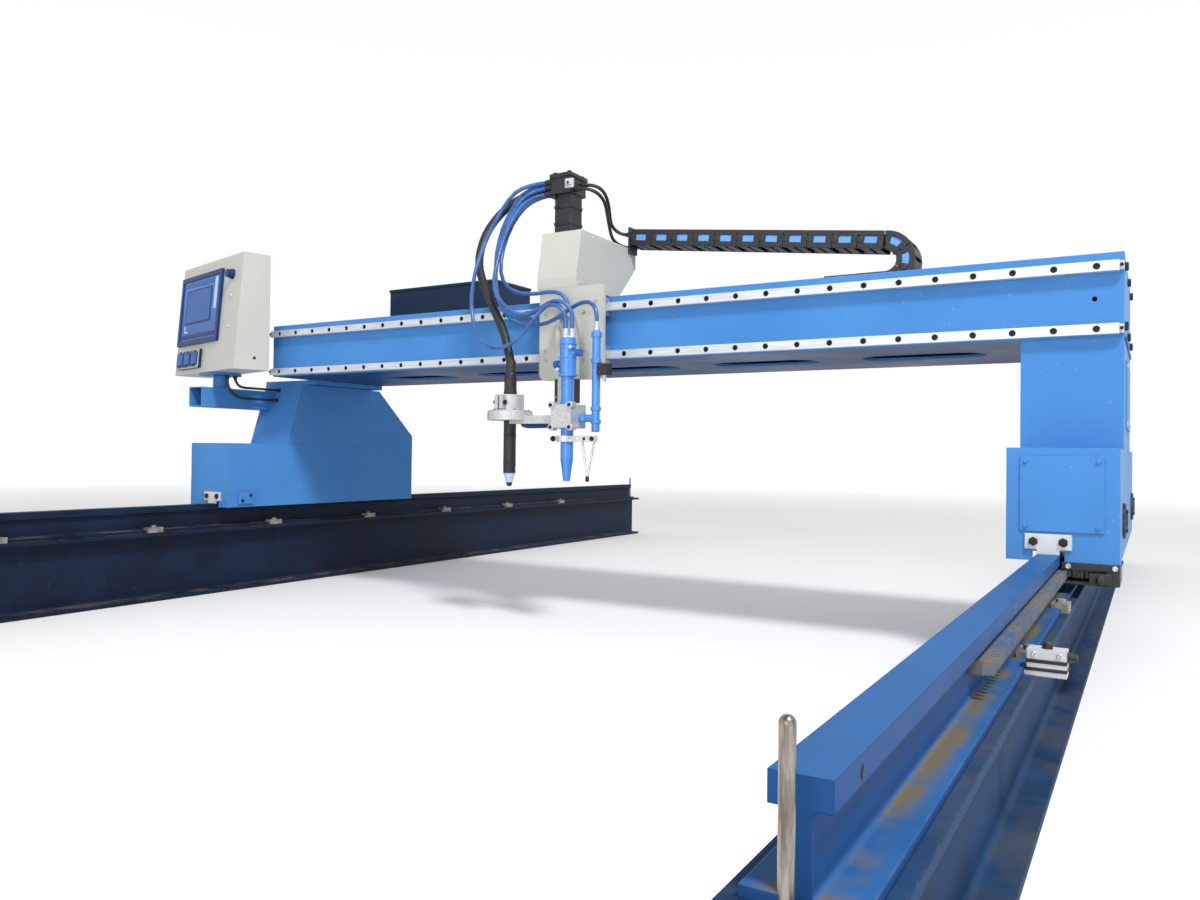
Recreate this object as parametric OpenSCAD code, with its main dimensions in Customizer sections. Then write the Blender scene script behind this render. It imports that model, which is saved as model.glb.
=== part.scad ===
// Gantry cutting machine on two floor tracks: a box beam on two rail trucks,
// with a cross carriage that lifts a plasma torch and a flame torch.
// The left rail is the line x = 0 and the floor is z = 0.

/* [Track] */
// Distance between the two rail centres
gauge = 2565; // [2200:5:3600]
// Length of each rail
rail_len = 4400; // [3600:50:6000]
// Height of a rail
rail_h = 80; // [80:1:120]
// Width of a rail head
rail_head_w = 40; // [34:1:44]
// Height of the square part of a rail head
rail_head_h = 20; // [16:1:22]
// Thickness of a rail web
rail_web_t = 14; // [10:1:18]
// Width of a rail foot
rail_foot_w = 76; // [66:1:84]
// Height of a track beam
track_h = 216; // [180:1:280]
// Width of a track beam's flanges
track_flange_w = 100; // [96:1:140]
// Thickness of a track beam's flanges
track_flange_t = 11; // [8:1:16]
// Thickness of a track beam's web
track_web_t = 8; // [6:1:14]
// Length by which a track beam passes its rail at each end
track_past_rail = 45; // [40:1:90]
// Distance between rail clips
clip_pitch = 465; // [400:5:900]

/* [Gantry] */
// Place of the beam's front face along the track
gantry_y = -536; // [-800:1:200]
// Place of the gantry's zero line across the track, from the left rail
gantry_x = -75; // [-90:1:-70]
// Depth of the beam
beam_d = 500; // [420:1:600]
// Height of the beam
beam_h = 175; // [165:1:240]
// Wall of the beam
beam_wall = 8; // [5:0.5:12]
// Height of the beam's underside over the rails
beam_z = 438; // [380:1:600]
// Place of the beam's left end on the gantry
beam_left = 180; // [165:1:200]
// Distance between the beam's two guides
guide_spacing = 130; // [120:1:140]
// Width of a guide
guide_w = 22; // [18:1:26]
// Distance between guide bolts
guide_pitch = 80; // [60:1:120]
// Length of the right truck
truck_len = 1050; // [900:10:1300]
// Length of the left truck
left_truck_len = 895; // [860:5:1000]
// Height of a rail truck's top over the rails
truck_top = 205; // [190:1:260]
// Reach of a truck from its rail towards the machine's middle
truck_in = 75; // [70:1:90]
// Reach of a truck from its rail outwards
truck_out = 120; // [115:1:150]
// Wall of trucks, leg and tower
plate_t = 8; // [6:0.5:10]
// Tread radius of a track wheel
wheel_r = 60; // [50:1:68]

/* [Carriage] */
// Place of the carriage's middle along the beam
carriage_x = 1440; // [1300:1:1600]
// Width of the carriage plate
carriage_w = 206; // [196:1:240]
// Bend radius of the drag chain, at its outside
chain_r = 76; // [70:1:84]
// Height of the drag chain
chain_h = 47; // [40:1:58]
// Width of the drag chain
chain_w = 86; // [60:1:90]

/* [Torches] */
// Distance from the beam's front to the torches' axis
torch_y = 126; // [124:1:140]
// Distance from the carriage's middle to the flame torch, to the right
flame_x = 42; // [36:1:46]
// Distance from the carriage's middle to the plasma torch, to the left
plasma_x = 145; // [130:1:160]
// Diameter of the plasma torch
plasma_d = 34; // [28:1:40]
// Diameter of the flame torch
flame_d = 34; // [30:1:38]
// Height of the torch tips over the rails
tip_z = 92; // [70:1:110]

/* [Console] */
// Width of the console
console_w = 496; // [440:1:560]
// Height of the console
console_h = 392; // [360:1:460]
// Depth of the console at its top
console_d = 92; // [80:1:130]
// Turn of the console about its post
console_turn = 14; // [0:1:30]
// Width of the screen bezel
bezel_w = 340; // [300:1:360]
// Height of the screen bezel
bezel_h = 250; // [220:1:260]

/* [Hidden] */
$fn = 48;

paint_blue = [0.33, 0.61, 0.92];
track_blue = [0.16, 0.40, 0.68];
navy = [0.03, 0.09, 0.17];
sheet_grey = [0.81, 0.82, 0.79];
steel = [0.86, 0.87, 0.88];
black = [0.07, 0.08, 0.09];
hose_blue = [0.13, 0.42, 0.75];

// Heights and gaps that many pieces share
rail_top = track_h + rail_h;
seat_gap = 0.3;
run_gap = 0.05;
eps = 1;

// Track pieces
track_len = rail_len + 2*track_past_rail;
track_fillet = 10;
rail_foot_t = 8;
rail_fillet = 6;
anchor_x = 60;
anchor_y = 200;
anchor_r = 7;
anchor_inset = 300;
clip_end = 600;
clip_count = floor((rail_len - 2*clip_end)/clip_pitch);
clip_w = 50;
clip_t = 8;
clip_reach = 16;
clip_bolt_r = 8;
clip_bolt_h = 6;
stop_pin_r = 5;
stop_pin_up = 40;
switch_x = 63;
switch_w = 44;
switch_d = 30;
switch_clip_gap = 29;
switch_y = -clip_pitch*clip_count/2 - clip_w/2 - switch_clip_gap - switch_d/2;
switch_h = 26;
switch_base_t = 6;
plunger_r = 6;
plunger_h = 12;
plunger_travel = 5;
plunger_room = 1;

// Truck and its running gear
truck_y0 = -216;
truck_y1 = truck_y0 + truck_len;
rail_left = -gantry_x;
rail_right = rail_left + gauge;
truck_bottom = -12;
notch_w = rail_head_w + 16;
notch_z = 6;
trip_in = 42;
trip_w = 55;
trip_h = 38;
trip_t = 6;
panel_w = 145;
panel_h = 145;
panel_t = 3;
panel_x = 22;
panel_z = 44;
panel_screw_r = 4;
panel_screw_h = 3;
panel_screw_inset = 10;
scraper_w = 82;
scraper_h = 30;
scraper_t = 5;
scraper_z = 10;
scraper_bolt_r = 7;
scraper_bolt_h = 5;
axle_r = 14;
wheel_half = 22;
flange_t = 9;
flange_h = 10;
wheel_inset = 176;
wheel_z = wheel_r + seat_gap;

// Racks and pinions: teeth are thinned so that straight flanks roll freely
rack_module = 5;
rack_pitch = PI*rack_module;
left_truck_lag = 4;
left_truck_y0 = truck_y0 + left_truck_lag*rack_pitch;
left_truck_y1 = left_truck_y0 + left_truck_len;
tooth_share = 0.36;
tooth_angle = 20;
tooth_up = 0.8*rack_module;
tooth_down = 1.25*rack_module;
pinion_teeth = 13;
pinion_r = rack_module*pinion_teeth/2;
pinion_shaft_r = 11;
mesh_gap = 0.4;
rack_h = 16;
rack_drop = 28;
rack_proud = 8;
rack_start = 510;
rack_back = rail_web_t/2;
rack_line = rail_head_w/2 + rack_proud;
pinion_x = rack_line + pinion_r + mesh_gap;
pinion_y = 60;
pinion_place = gantry_y + truck_y0 + pinion_y;
rack_y0 = pinion_place - rack_pitch*floor((pinion_place + rail_len/2 - rack_start)/rack_pitch);
rack_teeth = floor((rail_len/2 - rack_start - rack_y0)/rack_pitch);
gear_half = 38;
gear_t = 14;
guard_gap = 4;
guard_t = 5;
guard_side = 16;
motor_r = 36;
motor_h = 130;

// Beam pieces
beam_right = rail_right + truck_out;
beam_len = beam_right - beam_left;
beam_top = beam_z + beam_h;
beam_hole_inset = 54;
beam_hole_z = 80;
beam_hole_r = 5;
guide_z = beam_z + 15;
guide_t = 18;
guide_end = 8;
guide_hole_r = 4.5;
guide_sink_r = 7;
guide_sink = 9;
guide_len = beam_len - 2*guide_end;
guide_holes = floor((guide_len - 30)/guide_pitch);
oval_len = 300;
oval_w = 130;
oval_pitch = 420;
beam_rack_h = 12;
beam_rack_w = 24;
beam_rack_y = 60;
beam_rack_start = 150;
x_pinion_x = carriage_x - 40;
x_pinion_y = beam_rack_y + beam_rack_w + pinion_r + mesh_gap;
x_pinion_z = beam_top + 2;
beam_rack_x0 = x_pinion_x - rack_pitch*floor((x_pinion_x - beam_left - beam_rack_start)/rack_pitch);
beam_rack_teeth = floor((beam_right - beam_rack_start - beam_rack_x0)/rack_pitch);
tower_y0 = 90;
tower_y1 = 160;
tower_y2 = 547;
tower_shoulder = truck_top + 42;
tower_top_in = 150;
tower_top_out = -50;
tower_plate_t = 16;
tower_plate_reach = 60;
tower_top = beam_z - tower_plate_t;
tower_lean = atan2(tower_y1 - tower_y0, tower_top - truck_top);
cab_x = 446;
cab_w = 470;
cab_y = 292;
cab_d = 205;
cab_h = 146;
cab_wall = 3;
cab_lid_t = 3;

// Drag chain: its lower strand lies in a trough on the beam, its upper strand climbs to the carriage
chain_y = 238;
chain_link = 66;
chain_wall = 5;
chain_window = 34;
chain_tail = 160;
trough_wall = 3;
trough_h = 30;
trough_side = 5;
trough_x0 = carriage_x - 90;
trough_x1 = beam_right - 20;
bend_x = 2215;
chain_low_z = beam_top + trough_wall + seat_gap;
chain_up_z = chain_low_z + 2*chain_r;
chain_end_x = carriage_x + 22;
chain_end_up = 245;
chain_end_z = beam_top + chain_end_up;
chain_rise = chain_end_z - chain_up_z;
chain_tilt = atan2(chain_rise, bend_x - chain_end_x);
chain_run_len = norm([bend_x - chain_end_x, chain_rise]) - chain_h*tan(chain_tilt) - seat_gap;

// Carriage pieces
plate_gap = 36;
carriage_t = 14;
carriage_front = plate_gap + carriage_t;
carriage_z0 = beam_z - 53;
carriage_z1 = beam_top + 27;
carriage_corner = 22;
block_len = 76;
block_w = 48;
block_clear = 0.4;
block_back = 2;
block_inset = 6;
hood_x0 = carriage_x - 112;
hood_x1 = carriage_x + 16;
hood_wall = 3;
hood_open = 4;
hood_back = 285;
hood_bend = beam_top + 55;
hood_top = beam_top + 189;
hood_lean = 24;
hood_cut_y = 180;
hood_cut_z = beam_top + 132;
x_shelf_half = 45;
x_motor_r = 38;
x_motor_h = 110;
mast_w = 56;
mast_x = carriage_x - 83;
mast_y = 60;
mast_h = 125;
head_w = 64;
head_d = 84;
head_h = 46;
head_lip = 4;
head_cap = 10;
bracket_t = 6;
bracket_drop = 25;

// Lift and torches
lift_x = -40;
lift_w = 62;
lift_d = 32;
lift_z0 = beam_z - 118;
lift_z1 = beam_z + 122;
slide_w = 38;
slide_t = 12;
slide_gap = 0.5;
slide_proud = 2;
slide_len = 230;
clamp_gap = 0.2;
clamp_w = 62;
clamp_h = 62;
clamp_z = beam_z - 188;
clamp_front = 32;
arm_d = 30;
arm_drop = 10;
disc_r = 62;
disc_h = 24;
disc_z = beam_z - 166;
collar_r = 38;
collar_h = 46;
plasma_top = beam_z - 46;
plasma_ring_h = 10;
plasma_ring_w = 1;
nozzle_h = 22;
nozzle_top_d = 32;
nozzle_low_d = 20;
plasma_tip_h = 14;
plasma_tip_d = 8;
flame_top = beam_z + 50;
flame_body_d = 44;
flame_body_h = 100;
flame_tip_up = 18;
flame_tip_h = 60;
flame_tip_d = 18;
knob_spots = [[-1, beam_z - 18], [1, beam_z + 10]];
knob_r = 10;
knob_len = 14;
knob_boss = 5;
knob_boss_r = 7;
knob_stem_r = 4;
igniter_x = 78;
igniter_y = 16;
igniter_r = 11;
igniter_z0 = beam_z - 198;
igniter_z1 = beam_z + 67;
igniter_tee_r = 10;
igniter_tee = 36;
ring_z = beam_z - 224;
ring_h = 16;
ring_t = 8;
ring_ear = 17;
pilot_r = 3;
pilot_x = 64;
pilot_tops = [48, 84];
pilot_tip_r = 5;
pilot_tip_h = 14;

// Console pieces, in the console's own frame: x across, y from front to back, z up
arm_x = -20;
arm_w = 68;
arm_wall = 4;
arm_z = 330;
arm_y0 = -160;
post_r = 24;
post_y = -62;
swivel_r = 70;
swivel_t = 8;
console_z = 451;
console_slope = 30;
console_front = 62;
console_wall = 3;
front_tilt = atan2(console_slope, console_h);
bezel_x = 14;
bezel_z = 104;
bezel_t = 10;
bezel_rim = 16;
glass_t = 3;
keypad_w = 190;
keypad_h = 66;
keypad_x = 36;
keypad_z = 18;
keypad_t = 12;
key_count = 3;
key_w = 44;
key_h = 40;
key_proud = 5;
key_travel = 3;
key_floor = 2;
key_gap = 0.5;
selector_x = 425;
selector_z = 325;
selector_r = 17;
selector_grip_r = 14;
selector_base = 8;
selector_len = 22;

// Hand-picked points of the hoses and cables, from the carriage's middle and the beam's top or underside
function up(x, y, z) = [carriage_x + x, y, beam_top + z];
function low(x, y, z) = [carriage_x + x, y, beam_z + z];
lead_d = 24;
cord_gap = 0.5;
lead_points = [up(-115, 60, 342), up(-156, 60, 341), up(-198, 54, 336), up(-246, 36, 317), up(-288, 8, 275),
    up(-318, -22, 211), up(-319, -50, 138), up(-294, -70, 74), up(-237, -95, -11), low(-182, -115, 88),
    low(-154, -125, 24), [carriage_x - plasma_x, -torch_y, plasma_top + 34],
    [carriage_x - plasma_x, -torch_y, plasma_top + cord_gap]];
hose_d = 11;
hose_side = 12;
hose_up = 54;
flame_line = carriage_x + flame_x;
igniter_line = flame_line + igniter_x;
hose_points = [
    [up(-115, 38, 351), up(-152, 37, 350), up(-184, 31, 344), up(-218, 20, 326), up(-243, 5, 285),
     up(-262, -15, 224), up(-270, -32, 149), up(-261, -46, 77), up(-243, -60, 17), low(-200, -76, 136),
     low(-152, -86, 108), low(-106, -92, 97), low(-60, -95, 98), low(-36, -96, 103), low(-12, -97, 112),
     low(11, -98, 123), low(33, -99, 134), low(55, -100, 143), low(77, -101, 147), low(98, -104, 142),
     low(114, -108, 126), [igniter_line, igniter_y - torch_y, igniter_z1 + 36],
     [igniter_line, igniter_y - torch_y, igniter_z1 + 18],
     [igniter_line, igniter_y - torch_y, igniter_z1 + cord_gap]],
    [up(-115, 24, 335), up(-150, 23, 334), up(-178, 17, 328), up(-207, 5, 308), up(-227, -10, 269),
     up(-244, -30, 209), up(-250, -50, 135), up(-240, -76, 67), up(-220, -96, 12), low(-174, -110, 136),
     low(-130, -114, 118), low(-90, -117, 122), low(-62, -119, 133), low(-38, -121, 143), low(-14, -123, 147),
     low(8, -125, 141), low(24, -126, 125), [flame_line - hose_side, -torch_y, flame_top + hose_up],
     [flame_line - hose_side, -torch_y, flame_top + hose_up/2],
     [flame_line - hose_side, -torch_y, flame_top + cord_gap]],
    [up(-115, 24, 317), up(-148, 20, 315), up(-174, 11, 308), up(-199, -4, 288), up(-217, -22, 251),
     up(-230, -48, 193), up(-234, -72, 123), up(-226, -100, 59), up(-200, -120, 7), low(-152, -130, 140),
     low(-108, -134, 122), low(-66, -136, 126), low(-38, -137, 136), low(-14, -137, 146), low(10, -137, 150),
     low(32, -134, 144), low(48, -129, 127), [flame_line + hose_side, -torch_y, flame_top + hose_up],
     [flame_line + hose_side, -torch_y, flame_top + hose_up/2],
     [flame_line + hose_side, -torch_y, flame_top + cord_gap]],
    [up(-115, 24, 351), up(-156, 22, 351), up(-192, 14, 346), up(-228, -2, 328), up(-259, -24, 277),
     up(-284, -48, 207), up(-296, -70, 147), up(-300, -92, 87), up(-305, -100, 23), low(-297, -108, 144),
     low(-272, -120, 84), low(-222, -136, 45), low(-170, -148, 32), low(-124, -150, 42), low(-90, -150, 66),
     low(-64, -149, 92), low(-42, -148, 116), low(-20, -147, 133), low(2, -146, 139), low(24, -143, 132),
     low(38, -140, 115), [flame_line, -torch_y - hose_side, flame_top + hose_up - 10],
     [flame_line, -torch_y - hose_side, flame_top + hose_up/2 - 5],
     [flame_line, -torch_y - hose_side, flame_top + cord_gap]],
    [up(-115, 40, 317), up(-144, 39, 316), up(-178, 34, 309), up(-212, 24, 288), up(-240, 4, 238),
     up(-256, -18, 165), up(-246, -42, 92), up(-208, -62, 42), up(-156, -73, 18), up(-108, -77, 12),
     up(-84, -77, 12), up(-62, -76, 13), up(-40, -75, 12), up(-19, -72, 6), up(-4, -68, -10),
     [flame_line + lift_x, -carriage_front - lift_d/2, lift_z1 + 22],
     [flame_line + lift_x, -carriage_front - lift_d/2, lift_z1 + cord_gap]]];
chain_cable_d = 10;
chain_cable_points = [
    [up(-51, 82, 346), up(-33, 83, 345), up(-15, 87, 342), up(-2, 98, 336), up(3, 114, 327),
     up(2, 132, 316), up(-3, 150, 304), up(-10, 168, 292), up(-18, 186, 280), up(-26, 204, 268),
     up(-30, 222, 256), up(-26, 239, 245), up(-14, 251, 237), up(2, 256, 234), up(16, 256, 234)],
    [up(-51, 45, 326), up(-32, 46, 325), up(-13, 50, 323), up(3, 61, 317), up(11, 77, 309),
     up(12, 96, 300), up(8, 115, 290), up(1, 134, 281), up(-7, 153, 271), up(-15, 172, 262),
     up(-23, 191, 252), up(-31, 210, 243), up(-38, 229, 233), up(-42, 248, 223), up(-39, 266, 214),
     up(-29, 281, 207), up(-14, 291, 203), up(2, 294, 202), up(16, 294, 202)]];
console_cable_d = 9;
swivel_low = console_z - seat_gap - swivel_t;
console_cable_points = [
    [[24, -66, swivel_low], [24, -66, 424], [25, -61, 402], [28, -45, 382], [31, -20, 369], [33, 20, 366],
     [34, 80, 366], [34, 145, 366]],
    [[22, -34, swivel_low], [23, -30, 424], [25, -17, 409], [27, 3, 404], [28, 24, 404], [29, 45, 404],
     [30, 96, 404], [30, 157, 404]]];

function cubic(a, b, c, d, t) =
    0.5*((2*b) + (c - a)*t + (2*a - 5*b + 4*c - d)*t*t + (3*b - a - 3*c + d)*t*t*t);
function smooth(p, n) = let(m = len(p))
    [for (i = [0:m-2]) for (k = [0:n-1])
        cubic(p[max(i-1, 0)], p[i], p[i+1], p[min(i+2, m-1)], k/n), p[m-1]];
function unit(v) = v/norm(v);
function tangent(p, i) = unit(p[min(i+1, len(p)-1)] - p[max(i-1, 0)]);
function side(t) = unit(cross(t, abs(t[1]) > 0.9 ? [1, 0, 0] : [0, 1, 0]));
function ring(p, i, r, n) = let(t = tangent(p, i), a = side(t), b = cross(t, a))
    [for (k = [0:n-1]) p[i] + r*(cos(360*k/n)*a + sin(360*k/n)*b)];

// A round tube along a list of points, with flat ends
module cord(points, d, steps = 2, sides = 8) {
    p = smooth(points, steps);
    m = len(p);
    verts = [for (i = [0:m-1]) each ring(p, i, d/2, sides)];
    walls = [for (i = [0:m-2]) for (k = [0:sides-1]) let(a = i*sides + k, b = i*sides + (k+1)%sides)
        each [[a, a+sides, b], [b, a+sides, b+sides]]];
    start = [for (k = [1:sides-2]) [0, k, k+1]];
    end = [for (k = [1:sides-2]) [(m-1)*sides, (m-1)*sides+k+1, (m-1)*sides+k]];
    polyhedron(verts, concat(walls, start, end));
}

module gantry_frame() { translate([gantry_x, gantry_y, rail_top]) children(); }
module box(low, high) { translate(low) cube(high - low); }
module slot_2d(length, width) {
    square([length - width, width], center = true);
    for (s = [-1, 1]) translate([s*(length - width)/2, 0]) circle(d = width);
}

// Track
module fillet_2d(r) { difference() { square(r); translate([r, r]) circle(r); } }
module both_sides() { for (s = [0, 1]) mirror([s, 0]) children(); }
module rail_2d() {
    translate([-rail_head_w/2, rail_h - rail_head_h]) square([rail_head_w, rail_head_h]);
    translate([-rail_web_t/2, 0]) square([rail_web_t, rail_h]);
    translate([-rail_foot_w/2, 0]) square([rail_foot_w, rail_foot_t]);
    both_sides() translate([rail_web_t/2, rail_foot_t]) fillet_2d(rail_fillet);
    both_sides() translate([rail_web_t/2, rail_h - rail_head_h]) mirror([0, 1]) fillet_2d(rail_fillet);
}
module track_2d() {
    translate([-track_web_t/2, 0]) square([track_web_t, track_h]);
    for (z = [0, track_h - track_flange_t])
        translate([-track_flange_w/2, z]) square([track_flange_w, track_flange_t]);
    both_sides() translate([track_web_t/2, track_flange_t]) fillet_2d(track_fillet);
    both_sides() translate([track_web_t/2, track_h - track_flange_t]) mirror([0, 1]) fillet_2d(track_fillet);
}
module along_y(length) { translate([0, length/2, 0]) rotate([90, 0, 0]) linear_extrude(length) children(); }
module track_beam(x) {
    anchors = [-track_len/2 + anchor_inset, 0, track_len/2 - anchor_inset];
    translate([x, 0, 0]) difference() {
        along_y(track_len) track_2d();
        for (y = anchors, i = [-0.5, 0.5], j = [-0.5, 0.5])
            translate([i*anchor_x, y + j*anchor_y, -eps]) cylinder(r = anchor_r, h = track_flange_t + 2*eps);
    }
}
module left_track_beam() { color(navy) track_beam(0); }
module right_track_beam() { color(track_blue) track_beam(gauge); }
module left_rail() { color(navy) translate([0, 0, track_h]) along_y(rail_len) rail_2d(); }
module right_rail() { color(track_blue) translate([gauge, 0, track_h]) along_y(rail_len) rail_2d(); }

// A clip bears on the rail foot and on the flange beside it, under its own bolt
module rail_clip() {
    foot = rail_foot_w/2;
    edge = track_flange_w/2;
    box([foot, -clip_w/2, 0], [edge, clip_w/2, rail_foot_t + clip_t]);
    box([foot - clip_reach, -clip_w/2, rail_foot_t], [foot + eps, clip_w/2, rail_foot_t + clip_t]);
    translate([(foot - clip_reach + edge)/2, 0, rail_foot_t + clip_t - eps])
        cylinder(r = clip_bolt_r, h = clip_bolt_h + eps, $fn = 6);
}
module rail_clips() {
    color(steel) for (x = [0, gauge], s = [0, 1], i = [0:clip_count])
        translate([x, (i - clip_count/2)*clip_pitch, track_h]) mirror([s, 0, 0]) rail_clip();
}

// A toothed bar along +x: its back is y = 0, its pitch line y = depth, and its first gap is at x = 0
module rack_2d(depth, teeth) {
    root = depth - tooth_down;
    tip = depth + tooth_up;
    half_tip = rack_pitch*tooth_share/2 - tooth_up*tan(tooth_angle);
    half_root = rack_pitch*tooth_share/2 + tooth_down*tan(tooth_angle);
    tooth = [[-half_root, root], [-half_tip, tip], [half_tip, tip], [half_root, root]];
    teeth_2d = [for (i = [0:teeth-1], p = tooth) [(i + 0.5)*rack_pitch + p[0], p[1]]];
    polygon(concat([[0, 0], [0, root]], teeth_2d, [[teeth*rack_pitch, root], [teeth*rack_pitch, 0]]));
}
module pinion_2d() {
    root = pinion_r - tooth_down;
    tip = pinion_r + tooth_up;
    half_tip = rack_pitch*tooth_share/2 - tooth_up*tan(tooth_angle);
    half_root = rack_pitch*tooth_share/2 + tooth_up*tan(tooth_angle);
    circle(root);
    for (k = [0:pinion_teeth-1]) rotate(k*360/pinion_teeth)
        polygon([[root - eps, -half_root], [tip, -half_tip], [tip, half_tip], [root - eps, half_root]]);
}
module pinion(height) {
    difference() {
        linear_extrude(height) pinion_2d();
        translate([0, 0, -eps]) cylinder(r = pinion_shaft_r + run_gap, h = height + 2*eps);
    }
}
module drive_rack() {
    translate([rack_back, rack_y0, rail_top - rack_drop - rack_h]) mirror([1, -1, 0])
        linear_extrude(rack_h) rack_2d(rack_line - rack_back, rack_teeth);
}
module drive_racks() {
    color(steel) mirror([1, 0, 0]) drive_rack();
    color(steel) translate([gauge, 0, 0]) drive_rack();
}
module end_stop_pins() {
    shank = rail_h + stop_pin_up - stop_pin_r;
    color(steel) for (x = [0, gauge], s = [-1, 1])
        translate([x, s*(rail_len + track_past_rail)/2, track_h]) {
            cylinder(r = stop_pin_r, h = shank);
            translate([0, 0, shank]) sphere(stop_pin_r);
        }
}
module switch_frame() { translate([gauge + switch_x, switch_y, track_h]) children(); }
module limit_switch() {
    color(sheet_grey) switch_frame() difference() {
        union() {
            box([rail_foot_w/2 + seat_gap - switch_x, -switch_d/2, 0],
                [switch_w/2, switch_d/2, switch_base_t]);
            box([-switch_w/2, -switch_d/2, switch_base_t - eps],
                [switch_w/2, switch_d/2, switch_base_t + switch_h]);
        }
        translate([0, 0, switch_base_t + switch_h - plunger_h/2 - plunger_travel - plunger_room])
            cylinder(r = plunger_r + run_gap, h = plunger_h + plunger_room);
    }
}
module limit_plunger() {
    color(black) switch_frame() translate([0, 0, switch_base_t + switch_h - plunger_h/2]) {
        cylinder(r = plunger_r, h = plunger_h);
        translate([0, 0, plunger_h - eps]) cylinder(r = plunger_r - 2, h = 2 + eps);
    }
}

// Gantry
module right_frame() { gantry_frame() translate([rail_right, 0, 0]) children(); }
module left_frame() { gantry_frame() translate([rail_left, 0, 0]) mirror([1, 0, 0]) children(); }
module beam() {
    inside = [beam_len - 2*beam_wall, beam_d - 2*beam_wall, beam_h - 2*beam_wall];
    ovals = floor((beam_len - oval_len)/oval_pitch);
    color(paint_blue) gantry_frame() translate([beam_left, 0, beam_z]) difference() {
        cube([beam_len, beam_d, beam_h]);
        translate([beam_wall, beam_wall, beam_wall]) cube(inside);
        for (i = [0:ovals-1])
            translate([beam_len/2 + (i - (ovals - 1)/2)*oval_pitch, beam_d/2, -eps])
                linear_extrude(beam_wall + 2*eps) slot_2d(oval_len, oval_w);
        translate([beam_len - beam_hole_inset, -eps, beam_hole_z])
            rotate([-90, 0, 0]) cylinder(r = beam_hole_r, h = beam_wall + 2*eps);
    }
}
module guide(z) {
    first = (guide_len - guide_holes*guide_pitch)/2;
    translate([beam_left + guide_end, 0, z]) difference() {
        box([0, -guide_t, -guide_w/2], [guide_len, 0, guide_w/2]);
        for (i = [0:guide_holes]) translate([first + i*guide_pitch, eps, 0]) rotate([90, 0, 0]) {
            cylinder(r = guide_hole_r, h = guide_t + 2*eps, $fn = 24);
            translate([0, 0, guide_t + eps - guide_sink])
                cylinder(r = guide_sink_r, h = guide_sink + eps, $fn = 24);
        }
    }
}
module beam_guides() {
    color(steel) gantry_frame() for (i = [0, 1]) guide(guide_z + i*guide_spacing);
}
module beam_rack() {
    color(steel) gantry_frame() translate([beam_rack_x0, beam_rack_y, beam_top])
        linear_extrude(beam_rack_h) rack_2d(beam_rack_w, beam_rack_teeth);
}
module right_leg() {
    color(paint_blue) right_frame() difference() {
        box([-truck_in, 0, truck_top], [truck_out, beam_d, beam_z]);
        box([plate_t - truck_in, plate_t, truck_top - eps],
            [truck_out - plate_t, beam_d - plate_t, beam_z + eps]);
    }
}
// A truck with its outer side towards +x, open below, notched at both ends for the rail head
module truck(y0, y1) {
    difference() {
        box([-truck_in, y0, truck_bottom], [truck_out, y1, truck_top]);
        box([plate_t - truck_in, y0 + plate_t, truck_bottom - eps],
            [truck_out - plate_t, y1 - plate_t, truck_top - plate_t]);
        box([-notch_w/2, y0 - eps, truck_bottom - eps], [notch_w/2, y1 + eps, notch_z]);
    }
}
module right_truck() { color(paint_blue) right_frame() truck(truck_y0, truck_y1); }
module left_truck() {
    color(paint_blue) left_frame() truck(left_truck_y0, left_truck_y1);
    color(paint_blue) gantry_frame() translate([rail_left + truck_in, left_truck_y0 + trip_in, 0])
        cube([trip_t, trip_w, trip_h]);
}
module access_panel() {
    color(paint_blue) right_frame() translate([panel_x - panel_w/2, truck_y0 - panel_t, panel_z]) {
        cube([panel_w, panel_t, panel_h]);
        for (i = [0, 1], j = [0, 1])
            translate([panel_screw_inset + i*(panel_w - 2*panel_screw_inset), eps,
                panel_screw_inset + j*(panel_h - 2*panel_screw_inset)])
                rotate([90, 0, 0]) cylinder(r = panel_screw_r, h = panel_screw_h + eps);
    }
}
// The tower leans in from the truck to the beam: its sides move inwards with height
function tower_share(z) = (z - truck_top)/(tower_top - truck_top);
tower_low_in = rail_left + truck_in;
tower_low_out = rail_left - truck_out;
function tower_in(z) = tower_low_in + (tower_top_in - tower_low_in)*tower_share(z);
function tower_out(z) = tower_low_out + (tower_top_out - tower_low_out)*tower_share(z);
module tower_body(profile, wall) {
    n = len(profile);
    verts = concat([for (p = profile) [tower_in(p[1]) - wall, p[0], p[1]]],
                   [for (p = profile) [tower_out(p[1]) + wall, p[0], p[1]]]);
    polyhedron(verts, concat([[for (i = [0:n-1]) i]], [[for (i = [0:n-1]) 2*n - 1 - i]],
        [for (i = [0:n-1]) [i, n + i, n + (i+1)%n, (i+1)%n]]));
}
module left_tower() {
    low = truck_top + plate_t;
    outer = [[tower_y0, truck_top], [tower_y1, tower_top], [tower_y2, tower_top],
        [left_truck_y1, tower_shoulder], [left_truck_y1, truck_top]];
    inner = [[tower_y0 + 2*plate_t, low], [tower_y1 + plate_t, tower_top - plate_t],
        [tower_y2 - plate_t, tower_top - plate_t], [left_truck_y1 - plate_t, tower_shoulder - plate_t],
        [left_truck_y1 - plate_t, low]];
    color(paint_blue) gantry_frame() {
        difference() {
            tower_body(outer, 0);
            tower_body(inner, plate_t);
        }
        box([tower_top_out, tower_y1, tower_top], [tower_top_in + tower_plate_reach, beam_d, beam_z]);
    }
}
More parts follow.
